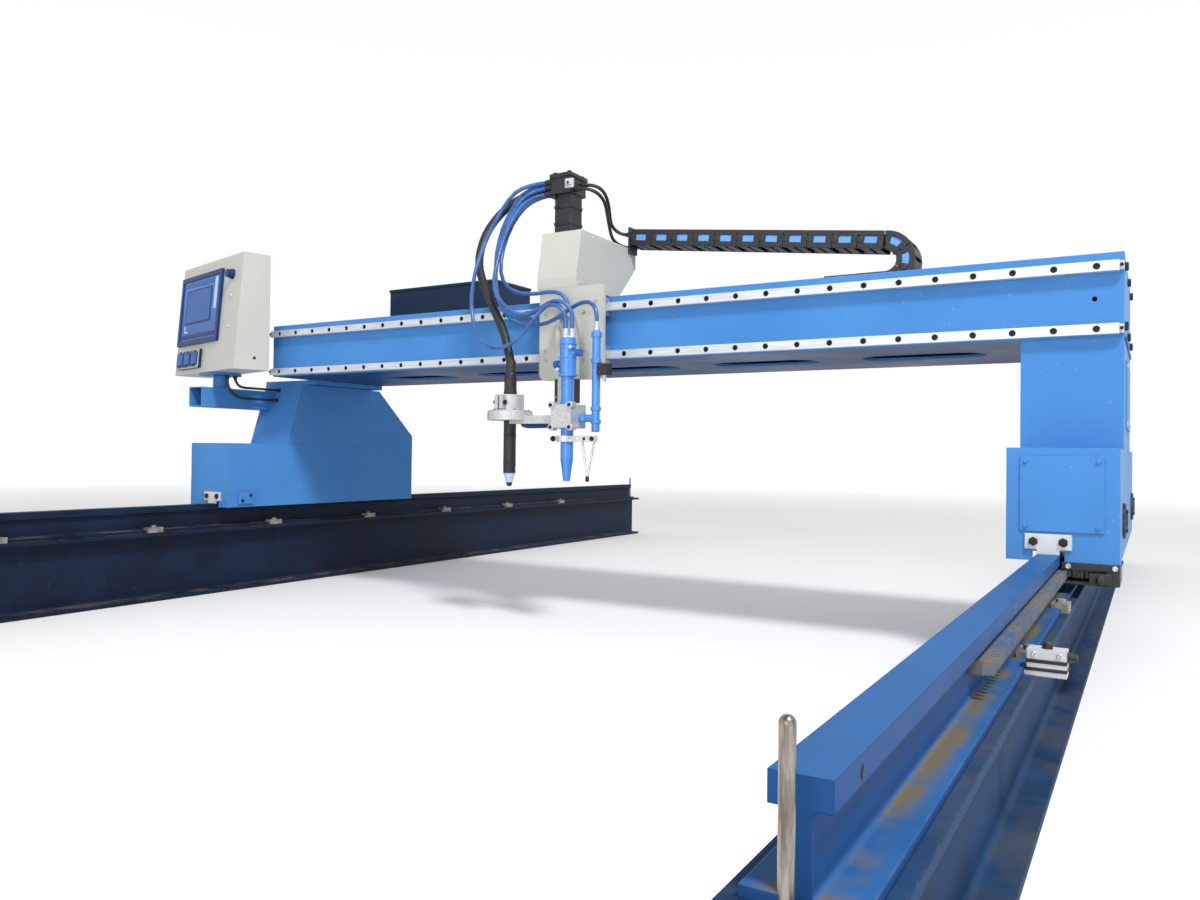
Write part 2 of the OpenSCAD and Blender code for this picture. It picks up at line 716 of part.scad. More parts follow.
module scraper() {
    translate([-scraper_w/2, -scraper_t, scraper_z]) cube([scraper_w, scraper_t, scraper_h]);
    for (s = [-1, 1]) translate([s*(scraper_w/2 - scraper_h/2), eps - scraper_t, scraper_z + scraper_h/2])
        rotate([90, 0, 0]) cylinder(r = scraper_bolt_r, h = scraper_bolt_h + eps, $fn = 6);
    translate([-rail_head_w/2, -scraper_t, seat_gap]) cube([rail_head_w, scraper_t, scraper_z - seat_gap]);
}
module scrapers() {
    spans = [[rail_left, left_truck_y0, left_truck_y1], [rail_right, truck_y0, truck_y1]];
    color(steel) gantry_frame() for (s = spans) {
        translate([s[0], s[1], 0]) scraper();
        translate([s[0], s[2], 0]) mirror([0, 1, 0]) scraper();
    }
}
module at_wheel(x, y) { gantry_frame() translate([x, y, wheel_z]) rotate([0, 90, 0]) children(); }
module wheel_axles() {
    axle_len = truck_in + truck_out - 2*plate_t;
    color(steel) for (y = [truck_y0 + wheel_inset, truck_y1 - wheel_inset])
        at_wheel(rail_right + plate_t - truck_in, y) cylinder(r = axle_r, h = axle_len);
    color(steel) for (y = [left_truck_y0 + wheel_inset, left_truck_y1 - wheel_inset])
        at_wheel(rail_left + plate_t - truck_out, y) cylinder(r = axle_r, h = axle_len);
}
module wheel(x, y) {
    half = wheel_half + flange_t;
    color(steel) at_wheel(x, y) difference() {
        union() {
            cylinder(r = wheel_r, h = 2*half, center = true);
            for (s = [-1, 1]) translate([0, 0, s*(half - flange_t/2)])
                cylinder(r = wheel_r + flange_h, h = flange_t, center = true);
        }
        cylinder(r = axle_r + run_gap, h = 2*half + 2*eps, center = true);
    }
}
module left_front_wheel() { wheel(rail_left, left_truck_y0 + wheel_inset); }
module left_rear_wheel() { wheel(rail_left, left_truck_y1 - wheel_inset); }
module right_front_wheel() { wheel(rail_right, truck_y0 + wheel_inset); }
module right_rear_wheel() { wheel(rail_right, truck_y1 - wheel_inset); }
// A gear flange under the truck's outer wall, its motor above it, and a guard round the pinion below it
module drive_gearmotor(y0) {
    x0 = pinion_x - gear_half;
    y1 = y0 + 2*pinion_y;
    flange_low = truck_bottom - gear_t;
    guard_top = -rack_drop - rack_h - guard_gap;
    box([x0, y0, flange_low], [truck_out, y1, truck_bottom]);
    box([truck_out - guard_side, y0, guard_top - guard_t], [truck_out, y1, flange_low + eps]);
    box([x0, y0, guard_top - guard_t], [truck_out, y1, guard_top]);
    translate([pinion_x, y0 + pinion_y, guard_top - eps])
        cylinder(r = pinion_shaft_r, h = flange_low - guard_top + 2*eps);
    translate([pinion_x, y0 + pinion_y, truck_bottom - eps]) cylinder(r = motor_r, h = motor_h);
}
module drive_gearmotors() {
    color(black) left_frame() drive_gearmotor(left_truck_y0);
    color(black) right_frame() drive_gearmotor(truck_y0);
}
module drive_pinion(y0) {
    translate([pinion_x, y0 + pinion_y, -rack_drop - rack_h]) rotate(180) pinion(rack_h);
}
module left_pinion() { color(steel) left_frame() drive_pinion(left_truck_y0); }
module right_pinion() { color(steel) right_frame() drive_pinion(truck_y0); }
module cabinet() {
    color(navy) gantry_frame() translate([cab_x, cab_y, beam_top]) difference() {
        cube([cab_w, cab_d, cab_h]);
        translate([cab_wall, cab_wall, cab_wall]) cube([cab_w - 2*cab_wall, cab_d - 2*cab_wall, cab_h]);
    }
}
module cabinet_lid() {
    color(black) gantry_frame() translate([cab_x, cab_y, beam_top + cab_h]) cube([cab_w, cab_d, cab_lid_t]);
}

// Drag chain: hollow links along +x, with a window in each side of every link
module chain_links(length) {
    count = floor(length/chain_link);
    pitch = length/count;
    difference() {
        cube([length, chain_w, chain_h]);
        translate([-eps, chain_wall, chain_wall])
            cube([length + 2*eps, chain_w - 2*chain_wall, chain_h - 2*chain_wall]);
        for (i = [0:count-1]) translate([(i + 0.5)*pitch, chain_w + eps, chain_h/2]) rotate([90, 0, 0])
            linear_extrude(chain_w + 2*eps) slot_2d(chain_window, chain_h/3);
    }
}
module chain_trough() {
    y0 = chain_y - trough_side;
    y1 = chain_y + chain_w + trough_side;
    color(steel) gantry_frame() difference() {
        box([trough_x0, y0, beam_top], [trough_x1, y1, beam_top + trough_h]);
        box([trough_x0 - eps, y0 + trough_wall, beam_top + trough_wall],
            [trough_x1 + eps, y1 - trough_wall, beam_top + trough_h + eps]);
    }
}
module chain_bend() {
    inner = chain_r - chain_h;
    hollow = [chain_h - 2*chain_wall, chain_w - 2*chain_wall];
    color(black) gantry_frame() translate([bend_x, chain_y, chain_low_z]) {
        translate([0, 0, chain_r]) rotate([-90, 0, 0]) rotate(-90) difference() {
            rotate_extrude(angle = 180) difference() {
                translate([inner, 0]) square([chain_h, chain_w]);
                translate([inner + chain_wall, chain_wall]) square(hollow);
            }
            for (a = [30, 90, 150]) rotate(a) translate([inner + chain_h/2, 0, -eps])
                linear_extrude(chain_w + 2*eps) square([chain_h/3, chain_window/2], center = true);
        }
        translate([-chain_tail, 0, 0]) chain_links(chain_tail);
    }
}
module chain_run() {
    color(black) gantry_frame() translate([bend_x, chain_y, chain_up_z]) rotate([0, chain_tilt, 0])
        translate([-chain_run_len, 0, -chain_h]) chain_links(chain_run_len);
}
module chain_bracket() {
    color(black) gantry_frame()
        union() {
            box([hood_x1, chain_y, chain_end_z - chain_h - bracket_drop],
                [chain_end_x, hood_back, chain_end_z]);
            box([hood_x1, chain_y, chain_end_z - chain_h],
                [chain_end_x, chain_y + chain_w, chain_end_z + bracket_t]);
        }
}

// Carriage
module carriage_plate() {
    color(sheet_grey) gantry_frame() translate([carriage_x, -plate_gap, carriage_z0])
        rotate([90, 0, 0]) linear_extrude(carriage_t) difference() {
            translate([-carriage_w/2, 0]) square([carriage_w, carriage_z1 - carriage_z0]);
            both_sides() translate([-carriage_w/2, 0]) difference() {
                translate([-eps, -eps]) square(carriage_corner + eps);
                translate([carriage_corner, carriage_corner]) circle(carriage_corner);
            }
        }
}
module guide_blocks() {
    color(steel) gantry_frame() for (i = [0, 1], s = [-1, 1])
        translate([carriage_x + s*(carriage_w/2 - block_inset - block_len/2), 0, guide_z + i*guide_spacing])
            difference() {
                box([-block_len/2, -plate_gap, -block_w/2], [block_len/2, -block_back, block_w/2]);
                box([-block_len/2 - eps, -guide_t - block_clear, -guide_w/2 - block_clear],
                    [block_len/2 + eps, 0, guide_w/2 + block_clear]);
            }
}
module hood_solid(x0, x1, profile) {
    translate([x0, 0, 0]) rotate([90, 0, 90]) linear_extrude(x1 - x0) polygon(profile);
}
// The hood is open below and along its slanted rear edge
module carriage_hood() {
    front = -carriage_front;
    inner_front = hood_wall - carriage_front;
    inner_top = hood_top - hood_wall;
    inner_back = hood_back - hood_wall;
    outer = [[front, carriage_z1], [front, hood_bend], [front + hood_lean, hood_top], [hood_back, hood_top],
        [hood_back, hood_cut_z], [hood_cut_y, carriage_z1]];
    inner = [[inner_front, carriage_z1 - eps], [inner_front, hood_bend], [inner_front + hood_lean, inner_top],
        [inner_back, inner_top], [inner_back, hood_cut_z - hood_open],
        [hood_cut_y + hood_open, carriage_z1 - eps]];
    color(sheet_grey) gantry_frame() difference() {
        hood_solid(hood_x0, hood_x1, outer);
        hood_solid(hood_x0 + hood_wall, hood_x1 - hood_wall, inner);
    }
}
module carriage_gearmotor() {
    color(black) gantry_frame() {
        box([x_pinion_x - x_shelf_half, hood_wall - carriage_front, carriage_z1],
            [x_pinion_x + x_shelf_half, x_pinion_y + x_motor_r, carriage_z1 + bracket_t]);
        translate([x_pinion_x, x_pinion_y, carriage_z1]) cylinder(r = x_motor_r, h = x_motor_h);
        translate([x_pinion_x, x_pinion_y, x_pinion_z])
            cylinder(r = pinion_shaft_r, h = carriage_z1 - x_pinion_z + eps);
    }
}
module carriage_pinion() {
    color(steel) gantry_frame() translate([x_pinion_x, x_pinion_y, x_pinion_z]) rotate(-90)
        pinion(beam_top + beam_rack_h - x_pinion_z);
}
module cable_post() {
    color(black) gantry_frame() translate([mast_x, mast_y, hood_top]) {
        box([-mast_w/2, -mast_w/2, 0], [mast_w/2, mast_w/2, mast_h]);
        box([-head_w/2, -head_d/2, mast_h - eps], [head_w/2, head_d/2, mast_h + head_h]);
        box([-head_w/2 - head_lip, -head_d/2 - head_lip, mast_h + head_h - eps],
            [head_w/2 + head_lip, head_d/2 + head_lip, mast_h + head_h + head_cap]);
    }
}
module chain_cables() { color(black) gantry_frame() for (p = chain_cable_points) cord(p, chain_cable_d); }
module plasma_lead() { color(black) gantry_frame() cord(lead_points, lead_d, sides = 12); }
module gas_hoses() { color(hose_blue) gantry_frame() for (p = hose_points) cord(p, hose_d); }

// Torch lift, in a frame on the flame torch's axis
module flame_frame() { gantry_frame() translate([carriage_x + flame_x, -torch_y, 0]) children(); }
module plasma_frame() { gantry_frame() translate([carriage_x - plasma_x, -torch_y, 0]) children(); }
module lift_housing() {
    back = torch_y - carriage_front;
    color(black) flame_frame() translate([lift_x, 0, 0]) difference() {
        box([-lift_w/2, back - lift_d, lift_z0], [lift_w/2, back, lift_z1]);
        box([-slide_w/2 - slide_gap, back - lift_d - eps, lift_z0 - eps],
            [slide_w/2 + slide_gap, back - lift_d + slide_t + slide_gap, lift_z1 - plate_t]);
    }
}
module torch_block() {
    face = torch_y - carriage_front - lift_d - slide_proud;
    color(steel) flame_frame() difference() {
        union() {
            box([-clamp_w/2, -clamp_front, clamp_z], [clamp_w/2, face, clamp_z + clamp_h]);
            box([lift_x - slide_w/2, face - slide_t, clamp_z], [0, face, clamp_z + clamp_h]);
            box([lift_x - slide_w/2, face - eps, clamp_z],
                [lift_x + slide_w/2, face + slide_proud + slide_t, clamp_z + slide_len]);
        }
        translate([0, 0, clamp_z - eps]) cylinder(r = flame_d/2 + clamp_gap, h = clamp_h + 2*eps);
    }
}
module torch_arm() {
    reach = plasma_x + flame_x - clamp_w/2;
    color(steel) plasma_frame() difference() {
        union() {
            translate([0, 0, disc_z]) cylinder(r = disc_r, h = disc_h);
            translate([0, 0, disc_z + disc_h - eps]) cylinder(r = collar_r, h = collar_h + eps);
            box([0, -arm_d/2, disc_z - arm_drop], [reach, arm_d/2, disc_z + disc_h/2]);
        }
        translate([0, 0, disc_z - arm_drop - eps])
            cylinder(r = plasma_d/2 + clamp_gap, h = arm_drop + disc_h + collar_h + 2*eps);
    }
}
module plasma_torch() {
    barrel_low = tip_z + plasma_tip_h + nozzle_h;
    color(black) plasma_frame() {
        translate([0, 0, barrel_low]) cylinder(d = plasma_d, h = plasma_top - barrel_low);
        translate([0, 0, disc_z + disc_h + collar_h])
            cylinder(r = plasma_d/2 + clamp_gap + plasma_ring_w, h = plasma_ring_h);
    }
}
module plasma_nozzle() {
    color(steel) plasma_frame() {
        translate([0, 0, tip_z + plasma_tip_h]) cylinder(d1 = nozzle_low_d, d2 = nozzle_top_d, h = nozzle_h);
        translate([0, 0, tip_z]) cylinder(d1 = plasma_tip_d, d2 = nozzle_low_d, h = plasma_tip_h);
    }
}
module flame_torch() {
    tip_low = tip_z + flame_tip_up;
    barrel_low = tip_low + flame_tip_h;
    knob_seat = flame_body_d/2 + knob_boss;
    color(hose_blue) flame_frame() {
        translate([0, 0, barrel_low]) cylinder(d = flame_d, h = flame_top - barrel_low);
        translate([0, 0, tip_low]) cylinder(d1 = flame_tip_d, d2 = flame_d, h = flame_tip_h);
        translate([0, 0, flame_top - flame_body_h]) cylinder(d = flame_body_d, h = flame_body_h);
        for (k = knob_spots) translate([0, 0, k[1]]) rotate([0, 90*k[0], 0]) {
            cylinder(r = knob_boss_r, h = knob_seat);
            cylinder(r = knob_stem_r, h = knob_seat + knob_len);
        }
    }
}
module valve_knob(spot) {
    flame_frame() translate([0, 0, spot[1]]) rotate([0, 90*spot[0], 0])
        translate([0, 0, flame_body_d/2 + knob_boss + seat_gap]) difference() {
            cylinder(r = knob_r, h = knob_len);
            translate([0, 0, -eps]) cylinder(r = knob_stem_r + run_gap, h = knob_len + 2*eps);
        }
}
module oxygen_knob() { color(hose_blue) valve_knob(knob_spots[0]); }
module fuel_knob() { color(black) valve_knob(knob_spots[1]); }
// A thin tube in the plane of the two torches
module strut(a, b, r) {
    translate([a[0], 0, a[1]]) rotate([0, atan2(b[0] - a[0], b[1] - a[1]), 0])
        cylinder(r = r, h = norm(b - a));
}
// A feed pipe beside the flame torch, its tee to the clamp, and two pilot tubes on a ring clamp
module igniter() {
    tip = [pilot_x, tip_z + flame_tip_up + pilot_tip_h/2];
    ring_r = flame_d/2 + ring_t;
    color(hose_blue) flame_frame() {
        translate([igniter_x, igniter_y, igniter_z0]) cylinder(r = igniter_r, h = igniter_z1 - igniter_z0);
        translate([clamp_w/2, igniter_y, igniter_z0 + igniter_tee])
            rotate([0, 90, 0]) cylinder(r = igniter_tee_r, h = igniter_x - clamp_w/2);
    }
    color(steel) flame_frame() {
        difference() {
            union() {
                translate([0, 0, ring_z]) cylinder(r = ring_r, h = ring_h);
                box([-ring_r - ring_ear, -ring_h/2, ring_z],
                    [igniter_x + igniter_r, ring_h/2, ring_z + ring_h]);
            }
            translate([0, 0, ring_z - eps]) cylinder(r = flame_d/2 + clamp_gap, h = ring_h + 2*eps);
        }
        for (x = pilot_tops) strut(tip, [x, ring_z + eps], pilot_r);
        translate([pilot_x, 0, tip_z + flame_tip_up]) cylinder(r = pilot_tip_r, h = pilot_tip_h);
    }
}

// Console
module post_frame() { gantry_frame() translate([arm_x, post_y, 0]) children(); }
module console_arm() {
    post_top = console_z - seat_gap;
    color(paint_blue) gantry_frame() {
        difference() {
            box([arm_x - arm_w/2, arm_y0, arm_z], [arm_x + arm_w/2, tower_y1, arm_z + arm_w]);
            box([arm_x - arm_w/2 + arm_wall, arm_y0 - eps, arm_z + arm_wall],
                [arm_x + arm_w/2 - arm_wall, tower_y1 + eps, arm_z + arm_w - arm_wall]);
            translate([arm_x - arm_w, tower_y0, truck_top]) rotate([-tower_lean, 0, 0])
                cube([2*arm_w, beam_d, beam_z]);
        }
        translate([arm_x, post_y, arm_z + arm_w - eps])
            cylinder(r = post_r, h = post_top - arm_z - arm_w + eps);
        translate([arm_x, post_y, swivel_low]) cylinder(r = swivel_r, h = swivel_t);
    }
}
module console_cables() {
    color(black) gantry_frame() for (p = console_cable_points) cord(p, console_cable_d);
}
module console_frame() {
    post_frame() rotate(-console_turn) translate([-console_w/2, -console_front, console_z]) children();
}
module console_2d(inset) {
    back = console_d + console_slope - inset;
    top = console_h - inset;
    polygon([[inset, inset], [back, inset], [back, top], [console_slope + inset, top]]);
}
module console_box() {
    color(sheet_grey) console_frame() difference() {
        rotate([90, 0, 90]) linear_extrude(console_w) console_2d(0);
        translate([console_wall, 0, 0]) rotate([90, 0, 90]) linear_extrude(console_w - 2*console_wall)
            console_2d(console_wall);
    }
}
// A frame on the console's sloped front: x across, z up the slope, y into the box
module front_frame(x, z) { console_frame() rotate([-front_tilt, 0, 0]) translate([x, 0, z]) children(); }
module screen_bezel() {
    color(black) front_frame(bezel_x, bezel_z) difference() {
        box([0, -bezel_t, 0], [bezel_w, 0, bezel_h]);
        box([bezel_rim, -bezel_t - eps, bezel_rim], [bezel_w - bezel_rim, -glass_t, bezel_h - bezel_rim]);
    }
}
module screen_glass() {
    g = bezel_rim + seat_gap;
    color(hose_blue) front_frame(bezel_x, bezel_z)
        box([g, -2*glass_t, g], [bezel_w - g, -glass_t, bezel_h - g]);
}
module key_place(i) {
    front_frame(keypad_x + keypad_w*(i + 0.5)/key_count, keypad_z + keypad_h/2) children();
}
module keypad_plate() {
    color(steel) difference() {
        front_frame(keypad_x, keypad_z) box([0, -keypad_t, 0], [keypad_w, 0, keypad_h]);
        for (i = [0:key_count-1]) key_place(i)
            box([-key_w/2 - key_gap, -keypad_t - eps, -key_h/2 - key_gap],
                [key_w/2 + key_gap, -key_floor, key_h/2 + key_gap]);
    }
}
module key(i) {
    key_place(i) box([-key_w/2, -keypad_t - key_proud, -key_h/2],
        [key_w/2, -key_floor - key_travel - seat_gap, key_h/2]);
}
module key_1() { color(hose_blue) key(0); }
module key_2() { color(black) key(1); }
module key_3() { color(hose_blue) key(2); }
module selector_knob() {
    color(hose_blue) front_frame(selector_x, selector_z) translate([0, -seat_gap, 0]) rotate([90, 0, 0]) {
        cylinder(r = selector_r, h = selector_base);
        cylinder(r = selector_grip_r, h = selector_len);
    }
}

left_track_beam();
right_track_beam();
left_rail();
right_rail();
rail_clips();
drive_racks();
end_stop_pins();
limit_switch();
limit_plunger();
beam();
beam_guides();
beam_rack();
right_leg();
right_truck();
access_panel();
left_truck();
left_tower();
scrapers();
wheel_axles();
left_front_wheel();
left_rear_wheel();
right_front_wheel();
right_rear_wheel();
drive_gearmotors();
left_pinion();
right_pinion();
console_arm();
console_cables();
cabinet();
cabinet_lid();
chain_trough();
console_box();
screen_bezel();
screen_glass();
keypad_plate();
key_1();
key_2();
key_3();
selector_knob();
carriage_plate();
carriage_hood();
guide_blocks();
carriage_gearmotor();
carriage_pinion();
cable_post();
chain_bracket();
chain_run();
chain_bend();
chain_cables();
plasma_lead();
gas_hoses();
lift_housing();
torch_block();
torch_arm();
plasma_torch();
plasma_nozzle();
flame_torch();
oxygen_knob();
fuel_knob();
igniter();
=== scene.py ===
import bpy
import bmesh
import math
from mathutils import Matrix, Vector


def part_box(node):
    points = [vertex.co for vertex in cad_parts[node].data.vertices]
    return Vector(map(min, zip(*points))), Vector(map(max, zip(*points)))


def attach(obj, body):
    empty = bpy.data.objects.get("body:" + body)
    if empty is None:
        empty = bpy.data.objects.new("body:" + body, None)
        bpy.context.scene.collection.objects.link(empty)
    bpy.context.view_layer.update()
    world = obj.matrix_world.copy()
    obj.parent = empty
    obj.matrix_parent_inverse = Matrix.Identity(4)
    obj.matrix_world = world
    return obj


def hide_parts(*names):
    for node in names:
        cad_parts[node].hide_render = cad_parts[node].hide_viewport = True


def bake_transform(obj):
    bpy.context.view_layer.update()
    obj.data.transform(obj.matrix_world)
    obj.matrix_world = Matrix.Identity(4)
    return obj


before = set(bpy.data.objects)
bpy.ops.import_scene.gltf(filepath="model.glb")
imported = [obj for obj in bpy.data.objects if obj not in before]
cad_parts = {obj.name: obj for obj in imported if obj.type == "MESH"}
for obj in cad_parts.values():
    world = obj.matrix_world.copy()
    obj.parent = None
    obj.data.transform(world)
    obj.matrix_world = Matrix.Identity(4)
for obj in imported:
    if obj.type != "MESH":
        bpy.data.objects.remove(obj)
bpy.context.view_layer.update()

print("frame loaded", len(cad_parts), "nodes")

# Millimetres of the gantry (x from its zero line, y from the beam's front, z over the rails) to the frame's metres
gantryFrame = Matrix.Translation((-0.075, -0.536, 0.296)) @ Matrix.Scale(0.001, 4)
trackFrame = Matrix.Translation((0, 0, 0.296)) @ Matrix.Scale(0.001, 4)


# Camera
cameraPose = {
    "at": (2.740, -2.722, 0.4795),
    "yaw": 0.5388,
    "pitch": 0.0137,
    "roll": 0.0116,
    "lens": 27.861,
    "shiftY": -0.0075,
}


def makeCamera(spec):
    data = bpy.data.cameras.new("camera")
    data.sensor_width = 36
    data.sensor_fit = "HORIZONTAL"
    data.lens = spec["lens"]
    data.shift_y = spec["shiftY"]
    data.clip_end = 200
    data.dof.use_dof = False
    yaw, pitch, roll = spec["yaw"], spec["pitch"], spec["roll"]
    ahead = Vector((-math.sin(yaw), math.cos(yaw), 0))
    right = Vector((math.cos(yaw), math.sin(yaw), 0))
    up = Vector((0, 0, 1))
    ahead2 = math.cos(pitch) * ahead + math.sin(pitch) * up
    up2 = -math.sin(pitch) * ahead + math.cos(pitch) * up
    right3 = math.cos(roll) * right + math.sin(roll) * up2
    up3 = -math.sin(roll) * right + math.cos(roll) * up2
    matrix = Matrix((right3, up3, -ahead2)).transposed().to_4x4()
    matrix.translation = Vector(spec["at"])
    camera = bpy.data.objects.new("camera", data)
    bpy.context.collection.objects.link(camera)
    camera.matrix_world = matrix
    bpy.context.scene.camera = camera


makeCamera(cameraPose)
print("camera set")


# Materials
def linear(r, g, b):
    def one(v):
        v = v / 255
        return v / 12.92 if v <= 0.04045 else ((v + 0.055) / 1.055) ** 2.4
    return (one(r), one(g), one(b), 1)


def tone(colour):
    return linear(*colour) if colour and len(colour) == 3 else colour


socketKinds = {float: "NodeSocketFloat", tuple: "NodeSocketVector"}


def groupStart(name, inputs, outputs):
    tree = bpy.data.node_groups.new(name, "ShaderNodeTree")
    for label, value in inputs.items():
        socket = tree.interface.new_socket(label, in_out="INPUT", socket_type=socketKinds[type(value)])
        socket.default_value = value
    for label, kind in outputs.items():
        tree.interface.new_socket(label, in_out="OUTPUT", socket_type=socketKinds[kind])
    return tree, tree.nodes.new("NodeGroupInput"), tree.nodes.new("NodeGroupOutput")


def feed(tree, socket, value):
    if hasattr(value, "is_output"):
        tree.links.new(value, socket)
    elif value is not None:
        socket.default_value = value


def addNode(tree, kind, operation=None):
    node = tree.nodes.new("ShaderNode" + kind)
    if operation:
        node.operation = operation
    return node


def mathNode(tree, operation, a, b=None, clamp=False):
    node = addNode(tree, "Math", operation)
    node.use_clamp = clamp
    feed(tree, node.inputs[0], a)
    feed(tree, node.inputs[1], b)
    return node.outputs[0]


def noiseNode(tree, vector, scale, detail=3, rough=0.55):
    node = addNode(tree, "TexNoise")
    for label, value in (("Vector", vector), ("Scale", scale), ("Detail", detail), ("Roughness", rough)):
        feed(tree, node.inputs[label], value)
    return node.outputs["Fac"]


def rangeNode(tree, value, low, high, toLow=0, toHigh=1):
    node = addNode(tree, "MapRange")
    node.interpolation_type = "SMOOTHSTEP"
    for index, item in enumerate((value, low, high, toLow, toHigh)):
        feed(tree, node.inputs[index], item)
    return node.outputs[0]


def mixColour(tree, factor, a, b):
    node = addNode(tree, "Mix")
    node.data_type = "RGBA"
    for index, item in ((0, factor), (6, a), (7, b)):
        feed(tree, node.inputs[index], item)
    return node.outputs[2]


def objectCoords(tree):
    return addNode(tree, "TexCoord").outputs["Object"]


def surfaceNormal(tree):
    return addNode(tree, "NewGeometry").outputs["Normal"]


def axes(tree, vector):
    node = addNode(tree, "SeparateXYZ")
    tree.links.new(vector, node.inputs[0])
    return node.outputs


def makeWearGroup():
    tree, source, sink = groupStart("edgeWear", {"Width": 0.004, "Break": 60.0}, {"Edge": float, "Normal": tuple})
    bevel = addNode(tree, "Bevel")
    bevel.samples = 4
    tree.links.new(source.outputs["Width"], bevel.inputs["Radius"])
    dot = addNode(tree, "VectorMath", "DOT_PRODUCT")
    tree.links.new(bevel.outputs[0], dot.inputs[0])
    tree.links.new(surfaceNormal(tree), dot.inputs[1])
    edge = rangeNode(tree, dot.outputs["Value"], 0.995, 0.86)
    patch = noiseNode(tree, objectCoords(tree), source.outputs["Break"], 4)
    broken = rangeNode(tree, patch, 0.47, 0.62)
    tree.links.new(mathNode(tree, "MULTIPLY", edge, broken, True), sink.inputs["Edge"])
    tree.links.new(bevel.outputs[0], sink.inputs["Normal"])
    return tree


def makeDustGroup():
    tree, source, sink = groupStart("dustOnTop", {"Scale": 9.0}, {"Dust": float})
    facing = rangeNode(tree, axes(tree, surfaceNormal(tree))["Z"], 0.55, 0.98)
    patch = noiseNode(tree, objectCoords(tree), source.outputs["Scale"], 6, 0.62)
    patchy = rangeNode(tree, patch, 0.35, 0.72)
    tree.links.new(mathNode(tree, "MULTIPLY", facing, patchy, True), sink.inputs["Dust"])
    return tree


def makeSkinGroup():
    tree, source, sink = groupStart("paintSkin", {"Peel": 420.0, "Cloud": 3.0},
                                    {"Height": float, "Cloud": float, "Speck": float})
    coords = objectCoords(tree)
    tree.links.new(noiseNode(tree, coords, source.outputs["Peel"], 2), sink.inputs["Height"])
    tree.links.new(noiseNode(tree, coords, source.outputs["Cloud"], 5), sink.inputs["Cloud"])
    tree.links.new(rangeNode(tree, noiseNode(tree, coords, 130.0, 2), 0.68, 0.76), sink.inputs["Speck"])
    return tree


def makeBrushGroup():
    tree, source, sink = groupStart("brushedLines", {"Stretch": (1.0, 1.0, 1.0), "Scale": 60.0},
                                    {"Lines": float, "Stain": float})
    coords = objectCoords(tree)
    scaled = addNode(tree, "VectorMath", "MULTIPLY")
    tree.links.new(coords, scaled.inputs[0])
    tree.links.new(source.outputs["Stretch"], scaled.inputs[1])
    tree.links.new(noiseNode(tree, scaled.outputs[0], source.outputs["Scale"], 3), sink.inputs["Lines"])
    tree.links.new(noiseNode(tree, coords, 7.0, 5, 0.65), sink.inputs["Stain"])
    return tree


wearGroup = makeWearGroup()
dustGroup = makeDustGroup()
skinGroup = makeSkinGroup()
brushGroup = makeBrushGroup()
finish = {}


def startMaterial(name):
    material = bpy.data.materials.new(name)
    material.use_nodes = True
    tree = material.node_tree
    return material, tree, tree.nodes["Principled BSDF"]


def useGroup(tree, group, **values):
    node = addNode(tree, "Group")
    node.node_tree = group
    for label, value in values.items():
        node.inputs[label].default_value = value
    return node


shaderLabels = {"metal": "Metallic", "shine": "Specular IOR Level", "coat": "Coat Weight",
                "coatRough": "Coat Roughness", "glow": "Emission Strength", "rough": "Roughness"}


def setShader(shader, **values):
    for label, value in values.items():
        shader.inputs[shaderLabels[label]].default_value = value


def addBump(tree, shader, height, strength, distance, normal=None):
    bump = addNode(tree, "Bump")
    for label, value in (("Strength", strength), ("Distance", distance), ("Height", height), ("Normal", normal)):
        feed(tree, bump.inputs[label], value)
    tree.links.new(bump.outputs[0], shader.inputs["Normal"])


# A colour of three numbers is as seen, from 0 to 255, and a colour of four is linear
def paint(name, light, dark, worn, dust=(0.55, 0.55, 0.53, 1), rough=0.36, peel=420.0, edge=0.003,
          dustAmount=0.25, wearAmount=0.6, coat=0.0, metal=0.0, bump=0.05, cloud=3.0, shine=0.5, dustRail=None,
          paintedShade=None, paintedShadeFacing=(-0.3, -0.8)):
    material, tree, shader = startMaterial(name)
    skin = useGroup(tree, skinGroup, Peel=peel, Cloud=cloud)
    wear = useGroup(tree, wearGroup, Width=edge)
    settled = useGroup(tree, dustGroup).outputs["Dust"]
    if dustRail is not None:
        spot = axes(tree, objectCoords(tree))
        below = rangeNode(tree, spot["Z"], dustRail["top"] + 0.006, dustRail["top"])
        aside = mathNode(tree, "ABSOLUTE", mathNode(tree, "SUBTRACT", spot["X"], dustRail["x"]))
        near = rangeNode(tree, aside, dustRail["far"], dustRail["near"])
        settled = mathNode(tree, "MULTIPLY", settled, mathNode(tree, "MULTIPLY", below, near))
    colour = mixColour(tree, rangeNode(tree, skin.outputs["Cloud"], 0.3, 0.7), tone(dark), tone(light))
    colour = mixColour(tree, mathNode(tree, "MULTIPLY", skin.outputs["Speck"], 0.22), colour, tone(dust))
    colour = mixColour(tree, mathNode(tree, "MULTIPLY", settled, dustAmount, True), colour, tone(dust))
    colour = mixColour(tree, mathNode(tree, "MULTIPLY", wear.outputs["Edge"], wearAmount), colour, tone(worn))
    # Painted shade: faces whose normal turns away from up, over the given facing range, are mixed towards a darker
    # colour
    if paintedShade is not None:
        facing = axes(tree, surfaceNormal(tree))["Z"]
        colour = mixColour(tree, rangeNode(tree, facing, *paintedShadeFacing), colour, tone(paintedShade))
    tree.links.new(colour, shader.inputs["Base Color"])
    roughness = rangeNode(tree, skin.outputs["Cloud"], 0.25, 0.75, rough - 0.06, rough + 0.08)
    roughness = mathNode(tree, "ADD", roughness, mathNode(tree, "MULTIPLY", settled, 0.2), True)
    tree.links.new(roughness, shader.inputs["Roughness"])
    setShader(shader, metal=metal, shine=shine, coat=coat, coatRough=0.2)
    addBump(tree, shader, skin.outputs["Height"], bump, 0.0006, wear.outputs["Normal"])
    finish[name] = material


